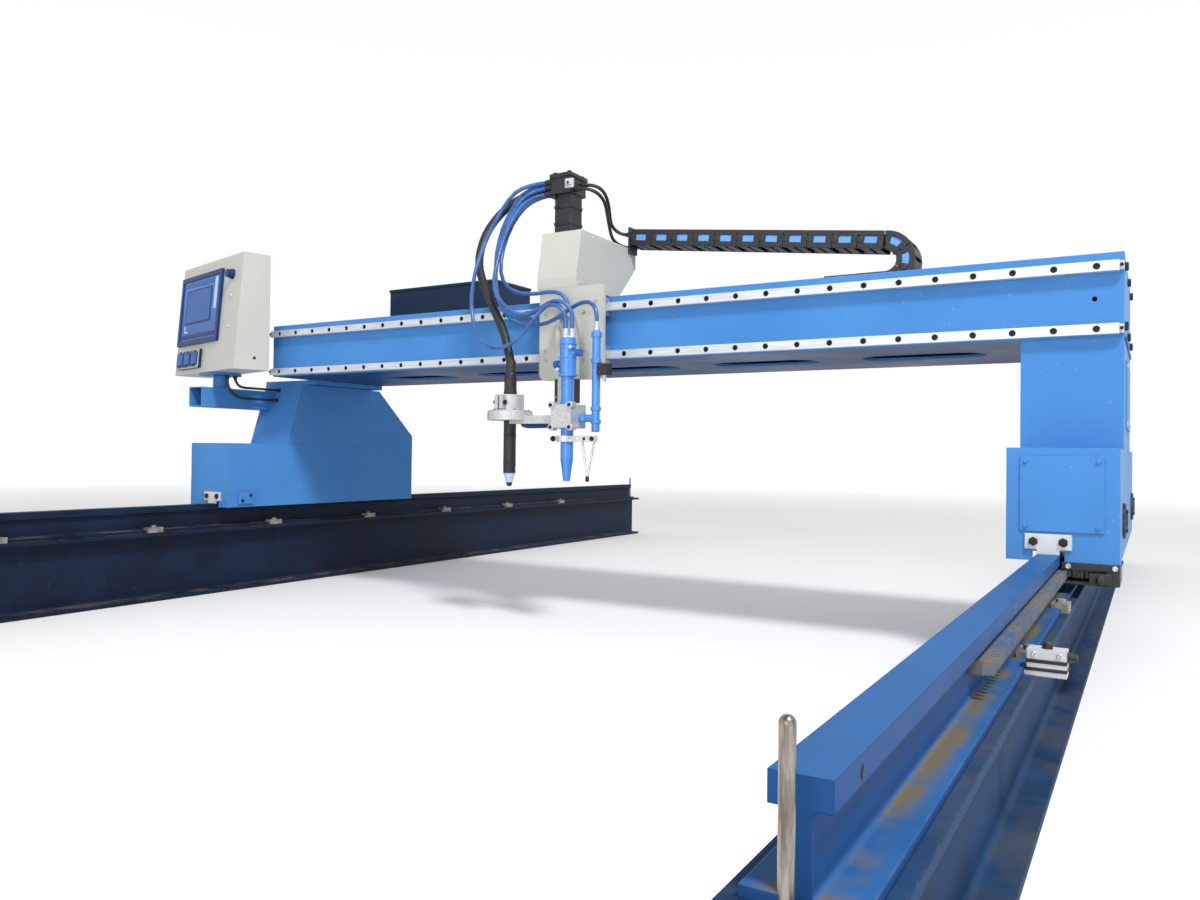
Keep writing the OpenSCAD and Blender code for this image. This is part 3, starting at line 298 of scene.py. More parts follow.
def steel(name, light, dark, rough=0.28, stretch=(1.0, 1.0, 1.0), scale=60.0, edge=0.0015, bump=0.08,
          metal=1.0, stain=(0.32, 0.29, 0.25, 1), stainAmount=0.25):
    material, tree, shader = startMaterial(name)
    brush = useGroup(tree, brushGroup, Stretch=stretch, Scale=scale)
    wear = useGroup(tree, wearGroup, Width=edge)
    lines = brush.outputs["Lines"]
    colour = mixColour(tree, rangeNode(tree, lines, 0.3, 0.7), tone(dark), tone(light))
    spots = rangeNode(tree, brush.outputs["Stain"], 0.52, 0.74)
    colour = mixColour(tree, mathNode(tree, "MULTIPLY", spots, stainAmount), colour, tone(stain))
    tree.links.new(colour, shader.inputs["Base Color"])
    roughness = rangeNode(tree, lines, 0.25, 0.75, rough - 0.07, rough + 0.1)
    roughness = mathNode(tree, "ADD", roughness, mathNode(tree, "MULTIPLY", spots, 0.15), True)
    tree.links.new(roughness, shader.inputs["Roughness"])
    setShader(shader, metal=metal)
    addBump(tree, shader, lines, bump, 0.0004, wear.outputs["Normal"])
    finish[name] = material


def screenMaterial(name):
    material, tree, shader = startMaterial(name)
    coords = objectCoords(tree)
    low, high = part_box("screen_glass")
    fade = rangeNode(tree, axes(tree, coords)["Z"], low.z, high.z)
    colour = mixColour(tree, fade, linear(36, 88, 164), linear(58, 122, 198))
    haze = noiseNode(tree, coords, 9.0, 4)
    colour = mixColour(tree, rangeNode(tree, haze, 0.4, 0.8, 0, 0.5), colour, linear(36, 78, 150))
    tree.links.new(colour, shader.inputs["Base Color"])
    tree.links.new(colour, shader.inputs["Emission Color"])
    fine = noiseNode(tree, coords, 60.0, 3)
    tree.links.new(rangeNode(tree, fine, 0.3, 0.7, 0.06, 0.14), shader.inputs["Roughness"])
    setShader(shader, glow=0.12, shine=0.15, coat=0.05, coatRough=0.05)
    addBump(tree, shader, fine, 0.02, 0.0003)
    finish[name] = material


# gantryPaint carries painted shade: its down-facing faces take the dark blue (32, 66, 112)
paint("gantryPaint", (78, 141, 208), (70, 132, 199), (140, 174, 208), rough=0.42, dustAmount=0.16, wearAmount=0.45,
      shine=0.12, paintedShade=(32, 66, 112))
paint("trackNavy", (20, 38, 64), (11, 24, 44), (86, 98, 112), dust=(118, 114, 102), rough=0.55, dustAmount=0.75,
      cloud=6.0, shine=0.2)
# railBlue carries painted shade: every face not turned up, the rail's sides included, takes the darker blue (36, 80,
# 138)
paint("railBlue", (52, 104, 162), (40, 89, 144), (112, 128, 142), dust=(112, 106, 90), rough=0.5, dustAmount=2.4,
      cloud=6.0, shine=0.08, dustRail={"x": 2.565, "near": 0.016, "far": 0.036, "top": 0.262}, paintedShade=(36, 80, 138),
      paintedShadeFacing=(0.75, 0.3))
paint("rackPaint", (66, 104, 146), (122, 115, 98), (140, 138, 128), dust=(128, 120, 102), rough=0.55,
      dustAmount=0.6, cloud=16.0, shine=0.25)
paint("trackFoot", (38, 72, 112), (30, 56, 90), (96, 104, 110), dust=(92, 90, 82), rough=0.6, dustAmount=0.55,
      cloud=11.0, shine=0.06)
paint("greyPaint", (200, 201, 193), (194, 195, 187), (222, 222, 217), rough=0.44, dustAmount=0.1, wearAmount=0.35)
paint("whitePlate", (212, 214, 217), (200, 202, 205), (150, 150, 148), rough=0.4, dustAmount=0.15)
paint("blackPaint", (34, 38, 44), (24, 27, 32), (96, 100, 104), dust=(110, 110, 104), rough=0.44, dustAmount=0.22)
paint("cabinetPaint", (26, 50, 78), (18, 38, 62), (96, 108, 120), dust=(100, 106, 108), rough=0.46, dustAmount=0.12,
      shine=0.2)
paint("blackPlastic", (36, 37, 40), (24, 25, 28), (70, 72, 74), rough=0.5, peel=900.0, dustAmount=0.12,
      wearAmount=0.3, bump=0.09)
paint("chainPlastic", (34, 36, 40), (22, 24, 27), (78, 80, 84), rough=0.46, peel=800.0, dustAmount=0.2,
      wearAmount=0.4, bump=0.09)
# Painted highlight: the pale blue of the insets in the chain links' windows
paint("chainHighlightBlue", (112, 170, 235), (86, 148, 222), (160, 196, 236), rough=0.4, peel=800.0, dustAmount=0.1,
      wearAmount=0.2)
paint("bluePlastic", (58, 112, 184), (44, 92, 162), (110, 150, 200), rough=0.36, peel=900.0, dustAmount=0.05,
      wearAmount=0.3, shine=0.15)
paint("navyPlastic", (30, 62, 118), (22, 48, 98), (84, 112, 152), rough=0.34, peel=900.0, dustAmount=0.06,
      wearAmount=0.25, shine=0.15)
paint("blueEnamel", (74, 146, 226), (58, 126, 206), (150, 184, 220), rough=0.28, peel=700.0, dustAmount=0.05,
      wearAmount=0.5, coat=0.4, edge=0.0012)
paint("paleEnamel", (196, 220, 244), (160, 196, 232), (232, 240, 248), rough=0.25, peel=700.0, dustAmount=0.0,
      wearAmount=0.4, edge=0.0012)
steel("brightSteel", (0.68, 0.71, 0.75, 1), (0.54, 0.57, 0.61, 1), rough=0.4, stretch=(1.0, 18.0, 18.0), scale=9.0,
      metal=0.4, stainAmount=0.12)
steel("paleSteel", (226, 228, 230), (196, 199, 202), rough=0.34, scale=90.0, metal=0.4, stainAmount=0.2)
steel("bareSteel", (0.72, 0.72, 0.71, 1), (0.52, 0.52, 0.51, 1), rough=0.34, scale=70.0, metal=0.85)
steel("pinSteel", (0.36, 0.33, 0.3, 1), (0.16, 0.14, 0.12, 1), rough=0.24, stretch=(9.0, 9.0, 1.0), scale=30.0)
steel("dustySteel", (168, 164, 150), (120, 118, 108), rough=0.55, scale=45.0, metal=0.4, stainAmount=0.5)
steel("darkSteel", (74, 78, 84), (44, 47, 52), rough=0.4, scale=60.0, metal=0.7)
steel("castAluminium", (206, 208, 208), (182, 184, 185), rough=0.42, scale=210.0, metal=0.35, bump=0.16,
      stain=(150, 150, 146), stainAmount=0.3)
steel("tipMetal", (70, 60, 52), (40, 36, 34), rough=0.42, scale=160.0, metal=0.8)
steel("boltBlack", (30, 31, 34), (16, 17, 19), rough=0.42, scale=240.0, metal=0.5, edge=0.0008, stain=(84, 80, 76),
      stainAmount=0.3)
paint("blackRubber", (34, 33, 34), (24, 24, 26), (64, 62, 62), dust=(110, 106, 100), rough=0.52, peel=1200.0,
      dustAmount=0.14, wearAmount=0.2, bump=0.12, cloud=14.0)
paint("blueRubber", (50, 108, 178), (34, 84, 150), (110, 152, 200), rough=0.32, peel=900.0, dustAmount=0.05,
      wearAmount=0.1, coat=0.3, cloud=20.0)
paint("thinRubber", (48, 46, 46), (30, 29, 30), (90, 88, 86), rough=0.45, peel=1200.0, dustAmount=0.05,
      wearAmount=0.1, cloud=20.0)
screenMaterial("screenGlass")
print("materials", len(finish))


# Mesh building, in millimetres of the frame that a piece is built in. Heads are in shares of their radius and height
headShapes = {
    "hex": {"sides": 6, "profile": ((1, 0), (1, 0.82), (0.88, 1))},
    "socket": {"sides": 18, "profile": ((1, 0), (1, 0.86), (0.9, 1), (0.56, 1), (0.52, 0.45))},
    "screw": {"sides": 18, "profile": ((1, 0), (0.96, 0.4), (0.7, 0.85), (0.35, 1), (0.3, 0.55))},
}


class Shape:
    def __init__(self, name, body, finishes, matrix=gantryFrame):
        self.name = name
        self.body = body
        self.finishes = finishes
        self.matrix = matrix
        self.bm = bmesh.new()
        self.paintIndex = 0

    def use(self, index):
        self.paintIndex = index
        return self

    def faces(self, rings):
        made = [[self.bm.verts.new(p) for p in ring] for ring in rings]
        count = len(rings[0])
        out = []
        for low, high in zip(made, made[1:]):
            for i in range(count):
                j = (i + 1) % count
                out.append(self.bm.faces.new((low[i], low[j], high[j], high[i])))
        out.append(self.bm.faces.new(list(reversed(made[0]))))
        out.append(self.bm.faces.new(made[-1]))
        for face in out:
            face.material_index = self.paintIndex

    def box(self, low, high):
        (x0, y0, z0), (x1, y1, z1) = low, high
        self.faces([[(x0, y0, z0), (x1, y0, z0), (x1, y1, z0), (x0, y1, z0)],
                    [(x0, y0, z1), (x1, y0, z1), (x1, y1, z1), (x0, y1, z1)]])
        return self

    def prism(self, outline, axis, low, high):
        def lift(p, h):
            return {"x": (h, p[0], p[1]), "y": (p[0], h, p[1]), "z": (p[0], p[1], h)}[axis]
        self.faces([[lift(p, low) for p in outline], [lift(p, high) for p in outline]])
        return self

    def lathe(self, profile, at, along=(0, 0, 1), sides=24):
        axis = Vector(along).normalized()
        spin = axis.to_track_quat("Z", "Y").to_matrix().to_4x4()
        spot = Matrix.Translation(Vector(at)) @ spin
        rings = []
        for radius, height in profile:
            ring = []
            for i in range(sides):
                angle = 2 * math.pi * (i + 0.5) / sides
                ring.append(spot @ Vector((radius * math.cos(angle), radius * math.sin(angle), height)))
            rings.append(ring)
        self.faces(rings)
        return self

    def rod(self, start, end, radius, sides=20, lip=0.0):
        run = Vector(end) - Vector(start)
        length = run.length
        if lip:
            profile = [(radius - lip, 0), (radius, lip), (radius, length - lip), (radius - lip, length)]
        else:
            profile = [(radius, 0), (radius, length)]
        return self.lathe(profile, start, run, sides)

    def head(self, kind, at, along, radius, height):
        spec = headShapes[kind]
        return self.lathe([(radius * r, height * h) for r, h in spec["profile"]], at, along, spec["sides"])

    def hexHead(self, at, along, across, height):
        return self.head("hex", at, along, across / 2 / math.cos(math.pi / 6), height)

    def socketHead(self, at, along, radius, height):
        return self.head("socket", at, along, radius, height)

    def screwHead(self, at, along, radius, height):
        return self.head("screw", at, along, radius, height)

    def tube(self, path, radius, sides):
        points = [Vector(p) for p in path]
        count = len(points)
        ahead = [(points[min(i + 1, count - 1)] - points[max(i - 1, 0)]).normalized() for i in range(count)]
        guide = Vector((0, 1, 0)) if abs(ahead[0].y) < 0.9 else Vector((1, 0, 0))
        side = ahead[0].cross(guide).normalized()
        rings = []
        for i in range(count):
            if i:
                side = (side - ahead[i] * side.dot(ahead[i])).normalized()
            other = ahead[i].cross(side)
            rings.append([points[i] + radius * (math.cos(2 * math.pi * k / sides) * side
                                               + math.sin(2 * math.pi * k / sides) * other)
                          for k in range(sides)])
        self.faces(rings)
        return self

    def done(self, bevel=0.0, smooth=35, segments=2, ride=True):
        bmesh.ops.recalc_face_normals(self.bm, faces=self.bm.faces)
        self.bm.transform(self.matrix)
        mesh = bpy.data.meshes.new(self.name)
        self.bm.to_mesh(mesh)
        self.bm.free()
        for item in self.finishes:
            mesh.materials.append(finish[item])
        mesh.shade_smooth()
        mesh.set_sharp_from_angle(angle=math.radians(smooth))
        made = bpy.data.objects.new(self.name, mesh)
        bpy.context.collection.objects.link(made)
        if bevel:
            modifier = made.modifiers.new("bevel", "BEVEL")
            modifier.width = bevel / 1000
            modifier.segments = segments
            modifier.limit_method = "ANGLE"
            modifier.angle_limit = math.radians(40)
            modifier.use_clamp_overlap = True
        if ride:
            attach(made, self.body)
        return made


def onCircle(radius, degrees):
    angle = math.radians(degrees)
    return radius * math.cos(angle), radius * math.sin(angle)


# Cords: points in millimetres from the carriage's middle and the beam's top or underside
carriageX, beamTop, beamLow = 1440, 613, 438


def up(x, y, z):
    return (carriageX + x, y, beamTop + z)


def low(x, y, z):
    return (carriageX + x, y, beamLow + z)


def smoothPath(points, steps):
    p = [Vector(q) for q in points]
    count = len(p)
    out = []
    for i in range(count - 1):
        a, b, c, d = p[max(i - 1, 0)], p[i], p[i + 1], p[min(i + 2, count - 1)]
        for k in range(steps):
            t = k / steps
            out.append(0.5 * (2 * b + (c - a) * t + (2 * a - 5 * b + 4 * c - d) * t * t
                              + (3 * b - a - 3 * c + d) * t ** 3))
    return out + [p[-1]]


sleeveRibs = {"flange": 3.2, "flangeLength": 5, "count": 4, "proud": 2.8, "taper": 0.5,
              "rib": ((0, 0.05), (0, 0.55), (0.8, 0.65), (0.8, 0.95)), "end": 0.3, "sides": 20}


def sleeve(name, body, at, along, radius, length, finishName="blackPlastic"):
    spec = sleeveRibs
    first = spec["flangeLength"]
    step = (length - first) / spec["count"]
    profile = [(radius + spec["flange"], 0), (radius + spec["flange"], first)]
    for i in range(spec["count"]):
        wide = radius + spec["proud"] - spec["taper"] * i
        profile += [(wide - depth, first + step * i + share * step) for depth, share in spec["rib"]]
    profile.append((radius + spec["end"], length))
    return Shape(name, body, [finishName]).lathe(profile, at, along, spec["sides"]).done(smooth=50)


def makeCord(name, spec, points):
    path = smoothPath(points, spec["steps"])
    radius = spec["diameter"] / 2
    moving = None if name in spec["fixed"] else spec["moving"]
    shape = Shape(name, spec["body"], [spec["finish"]])
    shape.tube(path, radius, 16)
    cord = shape.done(smooth=60, ride=moving is None)
    if moving:
        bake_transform(cord)
    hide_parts(spec["node"])
    farBody = moving["body"] if moving else spec["body"]
    pieces = [sleeve(name + "Start", spec["body"], path[0], path[1] - path[0], radius, spec["sleeve"]),
              sleeve(name + "End", farBody, path[-1], path[-2] - path[-1], radius, spec["sleeve"], spec["endFinish"])]


plasmaLead = {
    "diameter": 24, "finish": "blackRubber", "slot": "black_rubber", "body": "carriage", "node": "plasma_lead",
    "steps": 3, "stiffness": "stiff", "sleeve": 44, "endFinish": "blackPlastic",
    "moving": {"body": "torch_lift", "start": (1300, -100, 690), "end": (1300, -100, 440)}, "fixed": (),
    "paths": {
        "plasmaLead": [
            up(-115, 60, 342), up(-156, 60, 341), up(-198, 54, 336), up(-246, 36, 317), up(-288, 8, 275),
            up(-318, -22, 211), up(-319, -50, 138), up(-294, -70, 74), up(-237, -95, -11), low(-182, -115, 88),
            low(-154, -125, 24), (1295, -126, 426), (1295, -126, 392.5)],
    },
}
gasHoses = {
    "diameter": 11, "finish": "blueRubber", "slot": "blue_rubber", "body": "carriage", "node": "gas_hoses",
    "steps": 2, "stiffness": "medium", "sleeve": 24, "endFinish": "brightSteel",
    "moving": {"body": "torch_lift", "start": (1400, -100, 640), "end": (1400, -100, 500)}, "fixed": ("liftHose",),
    "paths": {
        "igniterHose": [
            up(-115, 38, 351), up(-152, 37, 350), up(-184, 31, 344), up(-218, 20, 326), up(-243, 5, 285),
            up(-262, -15, 224), up(-270, -32, 149), up(-261, -46, 77), up(-243, -60, 17), low(-200, -76, 136),
            low(-152, -86, 108), low(-106, -92, 97), low(-60, -95, 98), low(-36, -96, 103), low(-12, -97, 112),
            low(11, -98, 123), low(33, -99, 134), low(55, -100, 143), low(77, -101, 147), low(98, -104, 142),
            low(114, -108, 126), (1560, -110, 541), (1560, -110, 523), (1560, -110, 505.5)],
        "oxygenHose": [
            up(-115, 24, 335), up(-150, 23, 334), up(-178, 17, 328), up(-207, 5, 308), up(-227, -10, 269),
            up(-244, -30, 209), up(-250, -50, 135), up(-240, -76, 67), up(-220, -96, 12), low(-174, -110, 136),
            low(-130, -114, 118), low(-90, -117, 122), low(-62, -119, 133), low(-38, -121, 143),
            low(-14, -123, 147), low(8, -125, 141), low(24, -126, 125), (1470, -126, 542), (1470, -126, 515),
            (1470, -126, 488.5)],
        "fuelHose": [
            up(-115, 24, 317), up(-148, 20, 315), up(-174, 11, 308), up(-199, -4, 288), up(-217, -22, 251),
            up(-230, -48, 193), up(-234, -72, 123), up(-226, -100, 59), up(-200, -120, 7), low(-152, -130, 140),
            low(-108, -134, 122), low(-66, -136, 126), low(-38, -137, 136), low(-14, -137, 146), low(10, -137, 150),
            low(32, -134, 144), low(48, -129, 127), (1494, -126, 542), (1494, -126, 515), (1494, -126, 488.5)],
        "heatHose": [
            up(-115, 24, 351), up(-156, 22, 351), up(-192, 14, 346), up(-228, -2, 328), up(-259, -24, 277),
            up(-284, -48, 207), up(-296, -70, 147), up(-300, -92, 87), up(-305, -100, 23), low(-297, -108, 144),
            low(-272, -120, 84), low(-222, -136, 45), low(-170, -148, 32), low(-124, -150, 42), low(-90, -150, 66),
            low(-64, -149, 92), low(-42, -148, 116), low(-20, -147, 133), low(2, -146, 139), low(24, -143, 132),
            low(38, -140, 115), (1482, -138, 532), (1482, -138, 510), (1482, -138, 488.5)],
        "liftHose": [
            up(-115, 40, 317), up(-144, 39, 316), up(-178, 34, 309), up(-212, 24, 288), up(-240, 4, 238),
            up(-256, -18, 165), up(-246, -42, 92), up(-208, -62, 42), up(-156, -73, 18), up(-108, -77, 12),
            up(-84, -77, 12), up(-62, -76, 13), up(-40, -75, 12), up(-19, -72, 6), up(-4, -68, -10),
            (1442, -66, 582), (1442, -66, 560.5)],
    },
}
chainCables = {
    "diameter": 10, "finish": "thinRubber", "slot": "black_rubber", "body": "carriage", "node": "chain_cables",
    "steps": 3, "stiffness": "medium", "sleeve": 18, "endFinish": "blackPlastic", "moving": None,
    "fixed": (),
    "paths": {
        "chainCable1": [
            up(-51, 82, 346), up(-33, 83, 345), up(-15, 87, 342), up(-2, 98, 336), up(3, 114, 327), up(2, 132, 316),
            up(-3, 150, 304), up(-10, 168, 292), up(-18, 186, 280), up(-26, 204, 268), up(-30, 222, 256),
            up(-26, 239, 245), up(-14, 251, 237), up(2, 256, 234), up(16, 256, 234)],
        "chainCable2": [
            up(-51, 45, 326), up(-32, 46, 325), up(-13, 50, 323), up(3, 61, 317), up(11, 77, 309), up(12, 96, 300),
            up(8, 115, 290), up(1, 134, 281), up(-7, 153, 271), up(-15, 172, 262), up(-23, 191, 252),
            up(-31, 210, 243), up(-38, 229, 233), up(-42, 248, 223), up(-39, 266, 214), up(-29, 281, 207),
            up(-14, 291, 203), up(2, 294, 202), up(16, 294, 202)],
    },
}
consoleCables = {
    "diameter": 9, "finish": "thinRubber", "slot": "black_rubber", "body": "gantry", "node": "console_cables",
    "steps": 4, "stiffness": "medium", "sleeve": 14, "endFinish": "blackPlastic", "moving": None,
    "fixed": (),
    "paths": {
        "consoleCable1": [
            (24, -66, 442.7), (24, -66, 424), (25, -61, 402), (28, -45, 382), (31, -20, 369), (33, 20, 366),
            (34, 80, 366), (34, 145, 366)],
        "consoleCable2": [
            (22, -34, 442.7), (23, -30, 424), (25, -17, 409), (27, 3, 404), (28, 24, 404), (29, 45, 404),
            (30, 96, 404), (30, 157, 404)],
    },
}
for cordSet in (plasmaLead, gasHoses, chainCables, consoleCables):
    for cordName, cordPoints in cordSet["paths"].items():
        makeCord(cordName, cordSet, cordPoints)
print("cords made")

# Drag chain: side plates with a window in each link, filled with a pale blue inset that is a painted highlight, cross
# bars above and below, and a dark filling
chainRun = {"pivot": (2215, 768.3), "tilt": 6.79, "length": 752.4, "links": 11, "y": 238, "width": 86, "height": 47,
            "window": (14, 33), "plate": 5, "proud": 2.6, "gap": 0.6, "bars": (0.14, 0.56), "barLength": 0.3,
            "pin": 8, "pinDepth": 6, "pinProud": 0.8, "filling": 8, "blend": ((1462, 280, 830), (2215, 280, 740))}
chainBend = {"centre": (2215, 692.3), "radius": 76, "tail": 160, "tailLinks": 2, "bendLinks": 3}


def ribbon(shape, at, s0, s1, h0, h1, y0, y1, parts):
    lower = [at(s0 + (s1 - s0) * i / parts, h0) for i in range(parts + 1)]
    upper = [at(s1 + (s0 - s1) * i / parts, h1) for i in range(parts + 1)]
    shape.prism(lower + upper, "y", y0, y1)


def chainLink(shape, at, s0, s1, parts):
    spec = chainRun
    y, width, height, plate, gap = spec["y"], spec["width"], spec["height"], spec["plate"], spec["gap"]
    lower, upper = spec["window"]
    pitch = s1 - s0
    left, right = s0 + 0.25 * pitch, s0 + 0.75 * pitch
    for near, far, proud in ((y, y + plate, spec["proud"]), (y + width, y + width - plate, -spec["proud"])):
        shape.use(0)
        a, b = min(near, far), max(near, far)
        ribbon(shape, at, s0 + gap, s1 - gap, 0, lower, a, b, parts)
        ribbon(shape, at, s0 + gap, s1 - gap, upper, height, a, b, parts)
        ribbon(shape, at, s0 + gap, left, lower, upper, a, b, 1)
        ribbon(shape, at, right, s1 - gap, lower, upper, a, b, 1)
        # The pale inset in the window is a painted highlight
        shape.use(1)
        a, b = min(near + proud, far), max(near + proud, far)
        ribbon(shape, at, left, right, lower, upper, a, b, parts)
    shape.use(0)
    for low0, high0 in ((gap / 2, plate), (height - plate, height - gap / 2)):
        for edge in spec["bars"]:
            start, end = s0 + edge * pitch, s0 + (edge + spec["barLength"]) * pitch
            ribbon(shape, at, start, end, low0, high0, y + plate, y + width - plate, parts)
    for edge, way in ((y - spec["pinProud"], 1), (y + width + spec["pinProud"], -1)):
        x, z = at(s0 + 0.06 * pitch, height / 2)
        shape.rod((x, edge, z), (x, edge + way * spec["pinDepth"], z), spec["pin"], 14, 0.8)
    shape.use(2)
    fill = spec["filling"]
    ribbon(shape, at, s0, s1, fill, height - fill, y + fill, y + width - fill, parts)


def makeChain():
    tilt = math.radians(chainRun["tilt"])
    px, pz = chainRun["pivot"]
    length, height = chainRun["length"], chainRun["height"]
    finishes = ["chainPlastic", "chainHighlightBlue", "thinRubber"]

    def onRun(s, h):
        x, z = s - length, h - height
        return (px + x * math.cos(tilt) + z * math.sin(tilt), pz - x * math.sin(tilt) + z * math.cos(tilt))

    run = Shape("chainRun", "carriage", finishes)
    pitch = length / chainRun["links"]
    for i in range(chainRun["links"]):
        chainLink(run, onRun, i * pitch, (i + 1) * pitch, 1)
    upper = run.done(bevel=0.8, segments=1, ride=False)
    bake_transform(upper)
    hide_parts("chain_run")
    cx, cz = chainBend["centre"]
    radius, tail = chainBend["radius"], chainBend["tail"]
    arc = math.pi * (radius - height / 2)

    def onBend(s, h):
        if s <= tail:
            return (cx - tail + s, cz - radius + h)
        turn = math.pi * (s - tail) / arc - math.pi / 2
        return (cx + (radius - h) * math.cos(turn), cz + (radius - h) * math.sin(turn))

    bend = Shape("chainBend", "chain_bend", finishes)
    for i in range(chainBend["tailLinks"]):
        step = tail / chainBend["tailLinks"]
        chainLink(bend, onBend, i * step, (i + 1) * step, 1)
    for i in range(chainBend["bendLinks"]):
        step = arc / chainBend["bendLinks"]
        chainLink(bend, onBend, tail + i * step, tail + (i + 1) * step, 6)
    lower = bend.done(bevel=0.8, segments=1)
    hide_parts("chain_bend")


makeChain()
print("chain made")

# Black cap screws in the guides' holes, and the stops at the guides' ends
guideBolts = {"first": 230, "pitch": 80, "count": 32, "heights": (453, 583), "floor": -9, "head": (6.4, 7.4)}
guideStops = {"ends": (180, 2752), "width": 8, "heights": (453, 583), "depth": 16, "half": 9, "head": (3.4, 4)}


def makeGuideBolts():
    shape = Shape("guideBolts", "gantry", ["boltBlack"])
    for z in guideBolts["heights"]:
        for i in range(guideBolts["count"]):
            x = guideBolts["first"] + i * guideBolts["pitch"]
            shape.socketHead((x, guideBolts["floor"], z), (0, -1, 0), *guideBolts["head"])
    shape.done(smooth=40)
    stops = Shape("guideStops", "gantry", ["whitePlate", "boltBlack"])
    for x in guideStops["ends"]:
        for z in guideStops["heights"]:
            width, depth, half = guideStops["width"], guideStops["depth"], guideStops["half"]
            stops.use(0).box((x, -depth, z - half), (x + width, 0, z + half))
            stops.use(1).socketHead((x + width / 2, -depth, z), (0, -1, 0), *guideStops["head"])
    stops.done(bevel=0.8)


makeGuideBolts()

# Carriage plate screws and hood screws
plateScrews = {"columns": (1359, 1395, 1485, 1521), "rows": (440, 466, 570, 596), "face": -50, "head": (4.6, 4)}
hoodScrews = {"sides": ((1328, -1), (1456, 1)), "spots": ((-30, 652), (30, 652), (40, 790), (250, 790)),
              "head": (4.2, 2.2)}


def makeCarriageScrews():
    shape = Shape("plateScrews", "carriage", ["bareSteel"])
    for x in plateScrews["columns"]:
        for z in plateScrews["rows"]:
            shape.socketHead((x, plateScrews["face"], z), (0, -1, 0), *plateScrews["head"])
    shape.done(smooth=40)
    hood = Shape("hoodScrews", "carriage", ["bareSteel"])
    for x, way in hoodScrews["sides"]:
        for y, z in hoodScrews["spots"]:
            hood.screwHead((x, y, z), (way, 0, 0), *hoodScrews["head"])
    hood.done(smooth=40)


makeCarriageScrews()

# Cable head: a foot plate and straps on the mast, saddle bars with bolts, and a pale clamp at the front
cableHead = {"centre": (1357, 60), "foot": 46, "footTop": 808, "hoodTop": 802, "straps": (838, 886), "strapReach": 30,
             "saddles": (((1318, 20, 918), (1336, 100, 923.5)), ((1327, 20, 923.5), (1336, 100, 928)),
                         ((1317, 20, 970.5), (1325, 100, 977))),
             "footBolts": ((-16, -34), (34, -34), (-16, 34), (34, 34)), "capBolts": (24, 34), "capTop": 983,
             "strapHeight": 9, "strapBolt": -14, "footHead": (11, 6), "capHead": (12, 6), "strapHead": (8, 4)}
paleClamp = {"low": (1376, 10, 936), "high": (1402, 18, 962), "jaw": (1380, 6, 943), "jawHigh": (1398, 10, 955),
             "bolt": (1389, 6, 949), "head": (3.6, 3)}


def makeCableHead():
    spec = cableHead
    x, y = spec["centre"]
    shape = Shape("cableHeadFittings", "carriage", ["blackPaint", "boltBlack"])
    foot = spec["foot"]
    shape.box((x - foot / 2 - 5, y - foot, spec["hoodTop"]), (x + foot, y + foot, spec["footTop"]))
    for z in spec["straps"]:
        reach = spec["strapReach"]
        shape.box((x - reach, y - reach, z), (x + reach, y + reach, z + spec["strapHeight"]))
    for lower, upper in spec["saddles"]:
        shape.box(lower, upper)
    shape.use(1)
    for px, py in spec["footBolts"]:
        shape.hexHead((x + px, y + py, spec["footTop"]), (0, 0, 1), *spec["footHead"])
    across, along = spec["capBolts"]
    for px in (-across, across):
        for py in (-along, along):
            shape.hexHead((x + px, y + py, spec["capTop"]), (0, 0, 1), *spec["capHead"])
    for z in spec["straps"]:
        spot = (x + spec["strapBolt"], y - spec["strapReach"], z + spec["strapHeight"] / 2)
        shape.hexHead(spot, (0, -1, 0), *spec["strapHead"])
    shape.done(bevel=1.2)
    clamp = Shape("paleClamp", "carriage", ["whitePlate", "boltBlack"])
    clamp.box(paleClamp["low"], paleClamp["high"]).box(paleClamp["jaw"], paleClamp["jawHigh"])
    clamp.use(1).socketHead(paleClamp["bolt"], (0, -1, 0), *paleClamp["head"])
    clamp.done(bevel=1.5)


makeCableHead()

# Lift column: a channel, grey where it lies on the plate and black below it, with a cap and cover screws
liftColumn = {"left": 1411, "right": 1473, "front": -82, "back": -50, "slot": (1422.5, 1461.5), "slotBack": -69.5,
              "low": 320, "plateLow": 385, "capLow": 552, "high": 560, "screwInset": 4.2,
              "screws": (336, 410, 470, 530), "head": (2.6, 1.6)}


def makeLiftColumn():
    s = liftColumn
    shape = Shape("liftColumn", "carriage", ["greyPaint", "blackPaint", "bareSteel"])
    for tone, z0, z1 in ((1, s["low"], s["plateLow"]), (0, s["plateLow"], s["capLow"])):
        shape.use(tone)
        outline = [(s["left"], s["back"]), (s["left"], s["front"]), (s["slot"][0], s["front"]),
                   (s["slot"][0], s["slotBack"]), (s["slot"][1], s["slotBack"]), (s["slot"][1], s["front"]),
                   (s["right"], s["front"]), (s["right"], s["back"])]
        shape.prism(outline, "z", z0, z1)
    shape.use(0).box((s["left"], s["front"], s["capLow"]), (s["right"], s["back"], s["high"]))
    shape.use(2)
    for x in (s["left"] + s["screwInset"], s["right"] - s["screwInset"]):
        for z in s["screws"]:
            shape.screwHead((x, s["front"], z), (0, -1, 0), *s["head"])
    column = shape.done(bevel=0.8)
    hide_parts("lift_housing")


makeLiftColumn()

